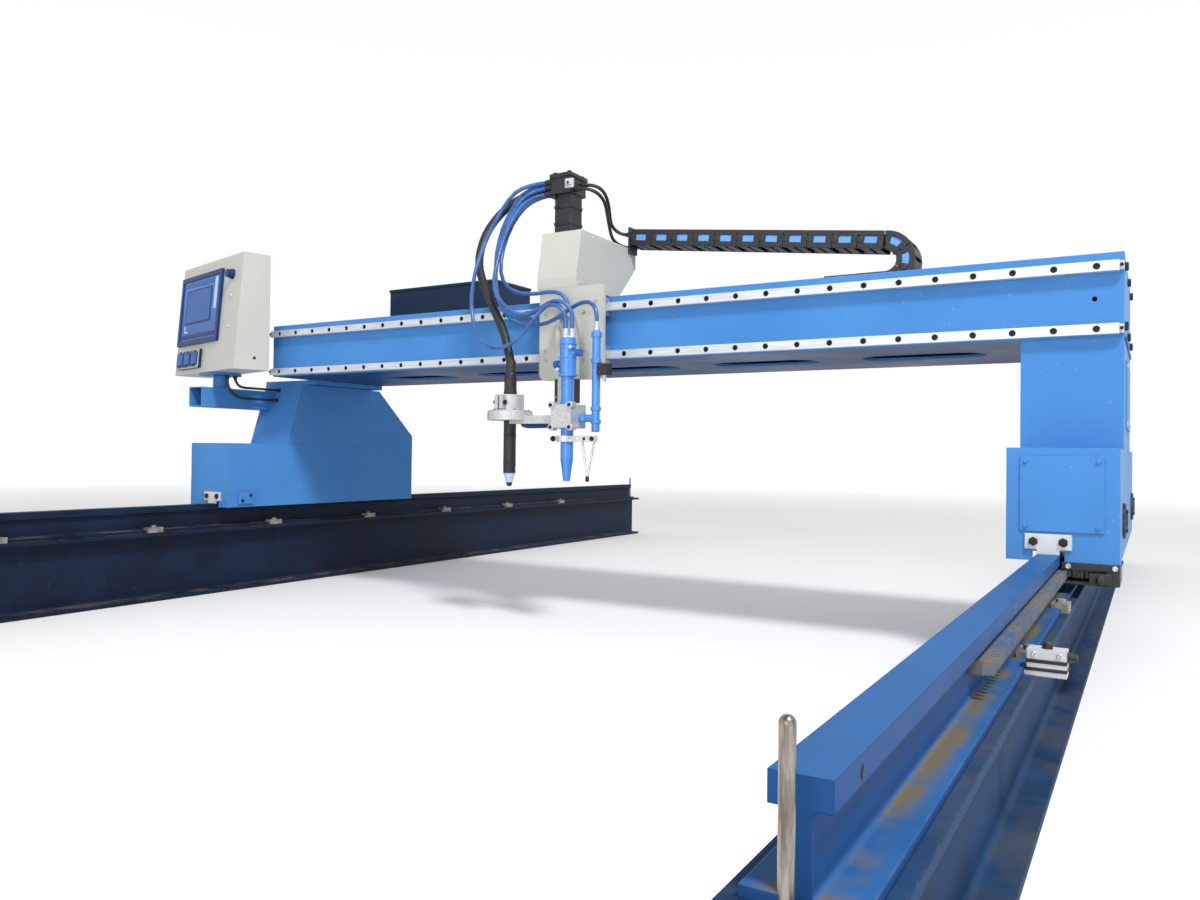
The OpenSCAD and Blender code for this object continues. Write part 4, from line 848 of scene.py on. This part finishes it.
# Torch clamp: corner bosses and screws on the block, lugs and a bolt on the collar, a rim on the disc, a dark rib
clampBosses = {"corners": ((1453, 252), (1511, 252), (1453, 310), (1511, 310)), "face": -158, "height": 5,
               "profile": [(9, -18), (9, 4), (8, 5)], "head": (4.4, 2.6)}
collarLugs = {"x": 1295, "front": -180, "back": -160, "gap": 3, "reach": 13, "low": 302, "high": 338, "boltZ": 320,
              "boltIn": 9, "nut": (11, 6), "head": (6, 7), "shim": ((-2, -6), (2, 3))}
discRim = {"at": (1295, -126, 296), "profile": [(59, 0), (59, 2.6), (56, 3.4), (46, 3.4), (44, 0.4)], "circle": 51,
           "face": 299.2, "turns": (40, 110, 180, 250, 320), "head": (3.6, 2.6)}
armRib = {"outline": [(1338, 262), (1440, 262), (1432, 254), (1420, 251), (1360, 250), (1344, 254)],
          "y": (-138, -114)}


def makeTorchClamp():
    shape = Shape("clampBosses", "torch_lift", ["castAluminium", "boltBlack"])
    for x, z in clampBosses["corners"]:
        face = clampBosses["face"]
        shape.use(0).lathe(clampBosses["profile"], (x, face, z), (0, -1, 0), 20)
        shape.use(1).socketHead((x, face - clampBosses["height"], z), (0, -1, 0), *clampBosses["head"])
    shape.done(smooth=40)
    lugs = collarLugs
    shape = Shape("collarLugs", "torch_lift", ["castAluminium", "boltBlack"])
    for way in (-1, 1):
        near, far = lugs["x"] + way * lugs["gap"], lugs["x"] + way * lugs["reach"]
        shape.box((min(near, far), lugs["front"], lugs["low"]), (max(near, far), lugs["back"], lugs["high"]))
    shape.lathe(discRim["profile"], discRim["at"], (0, 0, 1), 48)
    shape.use(1)
    (x0, y0), (x1, y1) = lugs["shim"]
    shape.box((lugs["x"] + x0, lugs["back"] + y0, lugs["low"]), (lugs["x"] + x1, lugs["back"] + y1, lugs["high"]))
    boltY = lugs["front"] + lugs["boltIn"]
    shape.hexHead((lugs["x"] + lugs["reach"], boltY, lugs["boltZ"]), (1, 0, 0), *lugs["nut"])
    shape.socketHead((lugs["x"] - lugs["reach"], boltY, lugs["boltZ"]), (-1, 0, 0), *lugs["head"])
    x, y, _ = discRim["at"]
    for turn in discRim["turns"]:
        px, py = onCircle(discRim["circle"], turn)
        shape.socketHead((x + px, y + py, discRim["face"]), (0, 0, 1), *discRim["head"])
    shape.done(bevel=0.7)
    rib = Shape("armRib", "torch_lift", ["navyPlastic"])
    rib.prism(armRib["outline"], "y", *armRib["y"])
    rib.done(bevel=1.5)


makeTorchClamp()

# Torches: bands and gas fittings on the flame torch, rings on the plasma torch, a dark end on its tip
flameFittings = {"axis": (1482, -126), "bands": ((386, 24.5, 7), (470, 24, 5), (434, 23.4, 3)),
                 "collar": [(20, 312), (20, 318), (18.2, 320)],
                 "ports": ((1463, -143, 404), (1502, -142, 462)), "portRadius": 6, "portDepth": 12,
                 "portProud": 4, "portNut": (9, 4), "cap": [(17, 488), (17, 491), (14, 493)]}
plasmaRings = {"axis": (1295, -126), "rings": ((150, 18), (156, 18), (230, 17.8)),
               "tip": [(4.6, 91.6), (7.2, 97), (9.4, 101.4), (8.6, 102)]}


def makeTorchFittings():
    x, y = flameFittings["axis"]
    shape = Shape("flameFittings", "torch_lift", ["blueEnamel", "brightSteel"])
    for z, radius, height in flameFittings["bands"]:
        band = [(radius - 1, z), (radius, z + 1), (radius, z + height - 1), (radius - 1, z + height)]
        shape.lathe(band, (x, y, 0), (0, 0, 1), 32)
    shape.lathe(flameFittings["collar"], (x, y, 0), (0, 0, 1), 32)
    depth, proud = flameFittings["portDepth"], flameFittings["portProud"]
    for px, py, z in flameFittings["ports"]:
        shape.rod((px, py + depth, z), (px, py - proud, z), flameFittings["portRadius"], 18, 1)
    shape.use(1).lathe(flameFittings["cap"], (x, y, 0), (0, 0, 1), 32)
    for px, py, z in flameFittings["ports"]:
        shape.hexHead((px, py - proud, z), (0, -1, 0), *flameFittings["portNut"])
    shape.done(bevel=0.4, smooth=40)
    x, y = plasmaRings["axis"]
    shape = Shape("plasmaRings", "torch_lift", ["blackPlastic", "tipMetal"])
    for z, radius in plasmaRings["rings"]:
        ring = [(radius - 0.8, z), (radius, z + 0.8), (radius, z + 3), (radius - 0.8, z + 3.8)]
        shape.lathe(ring, (x, y, 0), (0, 0, 1), 32)
    shape.use(1).lathe(plasmaRings["tip"], (x, y, 0), (0, 0, 1), 32)
    shape.done(smooth=40)


makeTorchFittings()

# Igniter: a blue feed pipe with nuts and a coil, a steel ring bar on the flame torch and two pilot tubes
igniterPipe = {"at": (1560, -110), "low": 240, "high": 505, "radius": 11, "tee": (1513, 276), "teeRadius": 10,
               "nuts": ((262, 10), (296, 10), (420, 12), (488, 14)), "across": 25, "teeNut": (1517, 23, 12)}
igniterCoil = {"low": (1570, -124, 388), "high": (1600, -96, 418), "gland": (1585, -110, 388),
               "profile": [(6, 0), (6, 8), (4.5, 9), (4.5, 16), (3, 17)]}
ringBar = {"axis": (1482, -126), "inner": 17.2, "outer": 25, "low": 214, "high": 230, "left": 1440, "right": 1571,
           "half": 8, "bolts": ((1444, 13, 6), (1564, 11, 5)), "screw": 1540, "boltZ": 222, "head": (4, 3),
           "overlap": 3}
pilotTubes = {"tip": (1546, -126, 117), "tops": ((1530, -126, 215), (1566, -126, 215)), "radius": 3, "tipLow": 110,
              "tipHigh": 124, "tipRadius": 5}


def makeIgniter():
    spec = igniterPipe
    x, y = spec["at"]
    pipe = Shape("igniterPipe", "torch_lift", ["blueEnamel", "brightSteel", "blackPlastic"])
    pipe.rod((x, y, spec["low"]), (x, y, spec["high"]), spec["radius"], 28, 1.5)
    pipe.rod((spec["tee"][0], y, spec["tee"][1]), (x, y, spec["tee"][1]), spec["teeRadius"], 28)
    for z, height in spec["nuts"]:
        pipe.hexHead((x, y, z), (0, 0, 1), spec["across"], height)
    nutX, across, height = spec["teeNut"]
    pipe.hexHead((nutX, y, spec["tee"][1]), (1, 0, 0), across, height)
    pipe.use(2).box(igniterCoil["low"], igniterCoil["high"])
    pipe.use(1).lathe(igniterCoil["profile"], igniterCoil["gland"], (0, 0, -1), 18)
    made = pipe.done(bevel=1.0, smooth=40)
    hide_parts("igniter")
    spec = ringBar
    x, y = spec["axis"]
    bar = Shape("pilotTubes", "torch_lift", ["paleSteel", "boltBlack", "tipMetal"])
    ring = [(spec["inner"], spec["low"]), (spec["outer"], spec["low"]), (spec["outer"], spec["high"]),
            (spec["inner"], spec["high"])]
    bar.lathe(ring, (x, y, 0), (0, 0, 1), 40)
    half = spec["half"]
    reach = spec["inner"] + spec["overlap"]
    bar.box((spec["left"], y - half, spec["low"]), (x - reach, y + half, spec["high"]))
    bar.box((x + reach, y - half, spec["low"]), (spec["right"], y + half, spec["high"]))
    for top in pilotTubes["tops"]:
        bar.rod(pilotTubes["tip"], top, pilotTubes["radius"], 16)
    bar.use(2)
    px, py, _ = pilotTubes["tip"]
    bar.rod((px, py, pilotTubes["tipLow"]), (px, py, pilotTubes["tipHigh"]), pilotTubes["tipRadius"], 20, 1)
    bar.use(1)
    for boltX, across, height in spec["bolts"]:
        bar.hexHead((boltX, y - half, spec["boltZ"]), (0, -1, 0), across, height)
    bar.socketHead((spec["screw"], y - half, spec["boltZ"]), (0, -1, 0), *spec["head"])
    made = bar.done(bevel=0.8, smooth=40)
    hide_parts("igniter")


makeIgniter()
print("carriage and torches detailed")

# Console: lock, button, pictures on the screen, keypad trim, rear louvres and cover screws
consoleSeat = {"post": (-20, -62, 0), "turn": -14, "corner": (-248, -62, 451), "slope": (30, 392)}
consoleTurn = Matrix.Rotation(math.radians(consoleSeat["turn"]), 4, "Z")
consoleFrame = gantryFrame @ Matrix.Translation(consoleSeat["post"]) @ consoleTurn \
    @ Matrix.Translation(consoleSeat["corner"])
frontFrame = consoleFrame @ Matrix.Rotation(-math.atan2(*consoleSeat["slope"]), 4, "X")
consoleLock = {"at": (425, 0, 252), "profile": [(8, 0), (8, 2), (6.5, 4), (5, 4), (4.8, 3)],
               "button": (420, 0, 147), "buttonProfile": [(5, 0), (5, 1.5), (3.5, 3.5)],
               "slot": ((-0.8, -4.2, -3.6), (0.8, -2.8, 3.6))}
screenPicture = {"face": -6, "lift": 0.4, "panels": (
    ("paleEnamel", (300, 220, 322, 332)), ("paleEnamel", (64, 150, 92, 156)), ("paleEnamel", (64, 150, 70, 176)),
    ("bluePlastic", (48, 316, 290, 330)), ("navyPlastic", (60, 180, 280, 304)), ("bluePlastic", (68, 186, 272, 298)),
    ("navyPlastic", (48, 128, 322, 142)))}
keypadTrim = {"low": (36, 18), "high": (226, 84), "face": -12, "bar": 3.5, "screwIn": 7,
              "dots": (52, 88, 111, 151, 174, 210), "dotRows": (25, 77), "dot": [(2.6, 0), (2.2, 1.2), (1.2, 1.8)],
              "head": (2.6, 1.4)}
consoleRear = {"y": 122, "louvres": 7, "left": 150, "right": 346, "base": 90, "step": 18,
               "screws": ((14, 14), (482, 14), (14, 378), (482, 378)), "plugs": ((0, -1), (496, 1)), "plugAt": (70, 40),
               "plug": [(5, 0), (5, 1.4), (3, 2)], "head": (4.5, 2.4), "louvre": (4, 9)}


def makeConsoleDetails():
    spec = consoleLock
    shape = Shape("consoleLock", "console", ["bareSteel", "boltBlack"], frontFrame)
    shape.lathe(spec["profile"], spec["at"], (0, -1, 0), 24)
    shape.lathe(spec["buttonProfile"], spec["button"], (0, -1, 0), 20)
    # Painted shade: the black slot stands for the dark keyhole of the lock
    shape.use(1).box(*(Vector(spec["at"]) + Vector(corner) for corner in spec["slot"]))
    shape.done(smooth=40)
    names = []
    for label, _ in screenPicture["panels"]:
        if label not in names:
            names.append(label)
    shape = Shape("screenPicture", "console", names, frontFrame)
    for step, (label, (x0, z0, x1, z1)) in enumerate(screenPicture["panels"]):
        face = screenPicture["face"] - (0.5 if label == "bluePlastic" else 0.2) - 0.1 * step
        shape.use(names.index(label)).box((x0, face - screenPicture["lift"], z0), (x1, screenPicture["face"], z1))
    shape.done()
    spec = keypadTrim
    (x0, z0), (x1, z1), bar, face = spec["low"], spec["high"], spec["bar"], spec["face"]
    shape = Shape("keypadTrim", "console", ["castAluminium", "paleEnamel"], frontFrame)
    for a, b in (((x0, z0), (x1, z0 + bar)), ((x0, z1 - bar), (x1, z1)), ((x0, z0), (x0 + bar, z1)),
                 ((x1 - bar, z0), (x1, z1))):
        shape.box((a[0], face - 1, a[1]), (b[0], face + 2, b[1]))
    inset = spec["screwIn"]
    for x in (x0 + inset, x1 - inset):
        for z in (z0 + inset, z1 - inset):
            shape.screwHead((x, face, z), (0, -1, 0), *spec["head"])
    shape.use(1)
    for x in spec["dots"]:
        for z in spec["dotRows"]:
            shape.lathe(spec["dot"], (x, face, z), (0, -1, 0), 14)
    shape.done(smooth=40)
    spec = consoleRear
    shape = Shape("consoleRear", "console", ["greyPaint", "bareSteel", "blackPlastic"], consoleFrame)
    y, (deep, high) = spec["y"], spec["louvre"]
    for i in range(spec["louvres"]):
        z = spec["base"] + i * spec["step"]
        shape.use(0).prism([(y, z), (y, z + high), (y + deep, z)], "x", spec["left"], spec["right"])
    shape.use(1)
    for x, z in spec["screws"]:
        shape.screwHead((x, y, z), (0, 1, 0), *spec["head"])
    shape.use(2)
    for x, way in spec["plugs"]:
        shape.lathe(spec["plug"], (x, *spec["plugAt"]), (way, 0, 0), 16)
    shape.done(smooth=40)


makeConsoleDetails()

# Cabinet on the beam: a lip round its lid and a row of louvres
cabinetTrim = {"low": (446, 292), "high": (916, 497), "z": (755, 764), "proud": 3, "louvres": 8, "first": 486,
               "pitch": 52, "length": 34, "height": 632, "louvre": (3, 7)}


def makeCabinetTrim():
    spec = cabinetTrim
    (x0, y0), (x1, y1), (z0, z1), proud = spec["low"], spec["high"], spec["z"], spec["proud"]
    shape = Shape("cabinetTrim", "gantry", ["cabinetPaint", "blackPaint"])
    for a, b in (((x0 - proud, y0 - proud), (x1 + proud, y0)), ((x0 - proud, y1), (x1 + proud, y1 + proud)),
                 ((x0 - proud, y0), (x0, y1)), ((x1, y0), (x1 + proud, y1))):
        shape.box((a[0], a[1], z0), (b[0], b[1], z1))
    shape.use(1)
    deep, high = spec["louvre"]
    for i in range(spec["louvres"]):
        x, z = spec["first"] + i * spec["pitch"], spec["height"]
        shape.prism([(y0, z), (y0 - deep, z), (y0, z + high)], "x", x, x + spec["length"])
    shape.done(bevel=0.6)


makeCabinetTrim()

# Trucks: scraper bolts, the trip plate of the left truck, connectors on the drive units
scraperBolts = {"rails": ((75, -158.17, 746.83), (2640, -221, 839)), "reach": 26, "height": 25,
                "head": (15, 5.6)}
tripPlate = {"low": (149, -112, -1.5), "high": (157.5, -55, 39.5), "bolts": ((-100, 10), (-68, 28)),
             "head": (10, 4)}
driveSockets = {"rails": ((75, -1, -153.17), (2640, 1, -216)), "box": (70, 108, -50, -30), "reach": 15,
                "gland": (89, -40), "profile": [(8, 0), (8, 6), (6, 8), (6, 16), (4.5, 18)], "bolts": (34, 112),
                "boltZ": -19, "head": (5, 4)}


def makeTruckDetails():
    shape = Shape("scraperBolts", "gantry", ["boltBlack"])
    for x, front, back in scraperBolts["rails"]:
        for way in (-1, 1):
            spot = x + way * scraperBolts["reach"]
            shape.hexHead((spot, front, scraperBolts["height"]), (0, -1, 0), *scraperBolts["head"])
            shape.hexHead((spot, back, scraperBolts["height"]), (0, 1, 0), *scraperBolts["head"])
    shape.done(smooth=30)
    shape = Shape("tripPlate", "gantry", ["gantryPaint", "boltBlack"])
    shape.box(tripPlate["low"], tripPlate["high"]).use(1)
    for y, z in tripPlate["bolts"]:
        shape.hexHead((tripPlate["high"][0], y, z), (1, 0, 0), *tripPlate["head"])
    shape.done(bevel=1.0)
    shape = Shape("driveSockets", "gantry", ["blackPlastic", "bareSteel"])
    for rail, way, front in driveSockets["rails"]:
        a, b, z0, z1 = driveSockets["box"]
        reach = driveSockets["reach"]
        xs = sorted((rail + way * a, rail + way * b))
        shape.use(0).box((xs[0], front - reach, z0), (xs[1], front, z1))
        across, height = driveSockets["gland"]
        shape.lathe(driveSockets["profile"], (rail + way * across, front - reach, height), (0, -1, 0), 18)
        shape.use(1)
        for across in driveSockets["bolts"]:
            spot = (rail + way * across, front, driveSockets["boltZ"])
            shape.socketHead(spot, (0, -1, 0), *driveSockets["head"])
    shape.done(bevel=1.2)


makeTruckDetails()

# Sides and back: screwed covers, end plate bolts, axle caps on the trucks' outer sides and weld beads
rearCovers = {"y": 500, "spans": ((560, 960), (1260, 1660), (1960, 2360)), "heights": (478, 573), "proud": 3,
              "screwIn": 12, "sunk": 1, "head": (5, 2.4)}
sideCovers = (((2758, 120, 250), (2763, 380, 400), 1), ((-53, 250, 245), (-44, 480, 385), -1))
endBolts = {"faces": ((2760, 1), (180, -1)), "across": (40, 250, 460), "heights": (463, 588), "head": (16, 7)}
axleCaps = {"spots": ((2760, 1, -40), (2760, 1, 658), (-45, -1, 22.83), (-45, -1, 565.83)), "height": 60.3,
            "circle": 26, "profile": [(36, 0), (36, 4), (34, 6), (16, 6), (14, 9)], "face": 6,
            "turns": (45, 135, 225, 315), "head": (4, 3)}
weldBeads = {"radius": 4, "runs": (((2565, 500, 438), (2760, 500, 438)), ((2760, 4, 438), (2760, 496, 438)),
                                   ((2565, 500, 205), (2760, 500, 205)))}


def makeRearDetails():
    shape = Shape("rearCovers", "gantry", ["gantryPaint", "bareSteel"])
    y, (z0, z1), proud = rearCovers["y"], rearCovers["heights"], rearCovers["proud"]
    inset = rearCovers["screwIn"]
    for x0, x1 in rearCovers["spans"]:
        shape.use(0).box((x0, y - rearCovers["sunk"], z0), (x1, y + proud, z1)).use(1)
        for x in (x0 + inset, (x0 + x1) / 2, x1 - inset):
            for z in (z0 + inset, z1 - inset):
                shape.screwHead((x, y + proud, z), (0, 1, 0), *rearCovers["head"])
    for lower, upper, way in sideCovers:
        shape.use(0).box(lower, upper).use(1)
        x = upper[0] if way > 0 else lower[0]
        for y in (lower[1] + inset, upper[1] - inset):
            for z in (lower[2] + inset, upper[2] - inset):
                shape.screwHead((x, y, z), (way, 0, 0), *rearCovers["head"])
    shape.done(bevel=0.8)
    shape = Shape("endBolts", "gantry", ["boltBlack", "darkSteel"])
    for x, way in endBolts["faces"]:
        for y in endBolts["across"]:
            for z in endBolts["heights"]:
                shape.hexHead((x, y, z), (way, 0, 0), *endBolts["head"])
    for x, way, y in axleCaps["spots"]:
        z = axleCaps["height"]
        shape.use(1).lathe(axleCaps["profile"], (x, y, z), (way, 0, 0), 36)
        shape.use(0)
        for turn in axleCaps["turns"]:
            py, pz = onCircle(axleCaps["circle"], turn)
            spot = (x + way * axleCaps["face"], y + py, z + pz)
            shape.socketHead(spot, (way, 0, 0), *axleCaps["head"])
    shape.done(smooth=40)
    shape = Shape("weldBeads", "gantry", ["gantryPaint"])
    for start, end in weldBeads["runs"]:
        shape.rod(start, end, weldBeads["radius"], 12, 1)
    shape.done(smooth=60)


makeRearDetails()

# Track: bands and knobs on the limit switch, and dark discs at the rail ends that paint the shade of bolt holes
switchBands = {"at": (2628, -1464), "half": (22.6, 15.6), "bands": ((-73.6, -69.5), (-64, -59.5)),
               "knob": (2650, -1464, -56), "profile": [(6, 0), (6, 4), (5, 5), (5, 10), (3.6, 11)],
               "screws": (14, -15, -53), "head": (2.8, 2)}
railHoleShade = {"rails": (0, 2565), "head": 20, "spots": (-2140, 2140), "height": -12, "profile": [(5, 0), (4.2, 0.6)]}


def makeTrackDetails():
    spec = switchBands
    (x, y), (w, d) = spec["at"], spec["half"]
    shape = Shape("switchBands", "track", ["blackPlastic", "bareSteel"], trackFrame)
    for z0, z1 in spec["bands"]:
        shape.box((x - w, y - d, z0), (x + w, y + d, z1))
    shape.lathe(spec["profile"], spec["knob"], (1, 0, 0), 20)
    shape.use(1)
    across, front, height = spec["screws"]
    for px in (-across, across):
        shape.socketHead((x + px, y + front, height), (0, -1, 0), *spec["head"])
    shape.done(bevel=0.8)
    # Painted shade: thin black discs on the rail ends stand for the dark inside of bolt holes
    shape = Shape("railHoleShade", "track", ["boltBlack"], trackFrame)
    for rail in railHoleShade["rails"]:
        for spot in railHoleShade["spots"]:
            for way in (-1, 1):
                face = (rail + way * railHoleShade["head"], spot, railHoleShade["height"])
                shape.lathe(railHoleShade["profile"], face, (way, 0, 0), 18)
    shape.done(smooth=40)


makeTrackDetails()
print("console, cabinet, trucks and track detailed")

# Finishes of the CAD nodes that show
nodeFinish = {
    "gantryPaint": ["beam", "right_leg", "right_truck", "access_panel", "left_truck", "left_tower", "console_arm",
                    "chain_trough"],
    "trackNavy": ["left_track_beam", "left_rail"],
    "railBlue": ["right_rail"],
    "trackFoot": ["right_track_beam"],
    "rackPaint": ["drive_racks"],
    "dustySteel": ["rail_clips", "left_pinion", "right_pinion", "carriage_pinion"],
    "darkSteel": ["wheel_axles"],
    "bareSteel": ["left_front_wheel", "left_rear_wheel", "right_front_wheel", "right_rear_wheel", "guide_blocks",
                  "beam_rack"],
    "pinSteel": ["end_stop_pins"],
    "whitePlate": ["scrapers", "limit_switch"],
    "brightSteel": ["beam_guides"],
    "blackPaint": ["drive_gearmotors", "carriage_gearmotor", "cable_post", "chain_bracket"],
    "cabinetPaint": ["cabinet", "cabinet_lid"],
    "greyPaint": ["console_box", "carriage_plate", "carriage_hood"],
    "navyPlastic": ["screen_bezel", "selector_knob"],
    "screenGlass": ["screen_glass"],
    "bluePlastic": ["key_1", "key_2", "key_3", "oxygen_knob", "fuel_knob"],
    "blackPlastic": ["limit_plunger", "keypad_plate", "plasma_torch"],
    "castAluminium": ["torch_block", "torch_arm"],
    "paleEnamel": ["plasma_nozzle"],
    "blueEnamel": ["flame_torch"],
}
for finishName, nodes in nodeFinish.items():
    for node in nodes:
        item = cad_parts[node]
        item.data.materials.clear()
        item.data.materials.append(finish[finishName])
print("nodes finished")


# Floor and light
def shownRays(tree):
    rays = addNode(tree, "LightPath").outputs
    bright = mathNode(tree, "ADD", rays["Is Camera Ray"], rays["Is Glossy Ray"])
    return mathNode(tree, "ADD", bright, rays["Is Transmission Ray"], True)


floorSpec = {"size": 40, "tones": (linear(245, 245, 245), linear(249, 249, 249)), "rough": 0.9,
             "glowReach": (2.0, 14.0), "glow": (0.1, 0.6)}


def makeStage():
    mesh = bpy.data.meshes.new("floor")
    size = floorSpec["size"]
    mesh.from_pydata([(-size, -size, 0), (size, -size, 0), (size, size, 0), (-size, size, 0)], [], [(0, 1, 2, 3)])
    floor = bpy.data.objects.new("floor", mesh)
    material, tree, shader = startMaterial("floorPale")
    coords = objectCoords(tree)
    cloud = noiseNode(tree, coords, 0.6, 4)
    colour = mixColour(tree, rangeNode(tree, cloud, 0.3, 0.7), *floorSpec["tones"])
    tree.links.new(colour, shader.inputs["Base Color"])
    reach = addNode(tree, "VectorMath", "LENGTH")
    tree.links.new(coords, reach.inputs[0])
    shader.inputs["Emission Color"].default_value = (1, 1, 1, 1)
    far = rangeNode(tree, reach.outputs["Value"], *floorSpec["glowReach"], *floorSpec["glow"])
    glow = mathNode(tree, "MULTIPLY", far, shownRays(tree))
    tree.links.new(glow, shader.inputs["Emission Strength"])
    setShader(shader, rough=floorSpec["rough"])
    mesh.materials.append(material)
    bpy.context.collection.objects.link(floor)


lamps = {
    "key": {"at": (4.8, -3.2, 5.6), "to": (0.3, 0.0, 0.3), "size": 1.0, "watts": 330},
    "fill": {"at": (2.4, -7.5, 1.6), "to": (1.3, 0.0, 0.7), "size": 5.0, "watts": 140},
}
sky = {"horizon": (1.0, 1.0, 1.0, 1), "zenith": (0.6, 0.6, 0.61, 1), "fade": (0.35, 1.0),
       "shown": 1.0, "light": 0.6}


def makeLights():
    world = bpy.data.worlds.new("studio")
    bpy.context.scene.world = world
    world.use_nodes = True
    tree = world.node_tree
    background = tree.nodes["Background"]
    toward = addNode(tree, "TexCoord").outputs["Generated"]
    height = rangeNode(tree, axes(tree, toward)["Z"], *sky["fade"])
    tree.links.new(mixColour(tree, height, sky["horizon"], sky["zenith"]), background.inputs["Color"])
    strength = rangeNode(tree, shownRays(tree), 0.0, 1.0, sky["light"], sky["shown"])
    tree.links.new(strength, background.inputs["Strength"])
    for name, spec in lamps.items():
        data = bpy.data.lights.new(name, "AREA")
        data.shape = "DISK"
        data.size = spec["size"]
        data.energy = spec["watts"]
        lamp = bpy.data.objects.new(name, data)
        bpy.context.collection.objects.link(lamp)
        toward = Vector(spec["to"]) - Vector(spec["at"])
        lamp.rotation_euler = toward.to_track_quat("-Z", "Y").to_euler()
        lamp.location = spec["at"]
    bpy.context.scene.view_settings.view_transform = "Standard"


makeStage()
makeLights()
print("stage set")
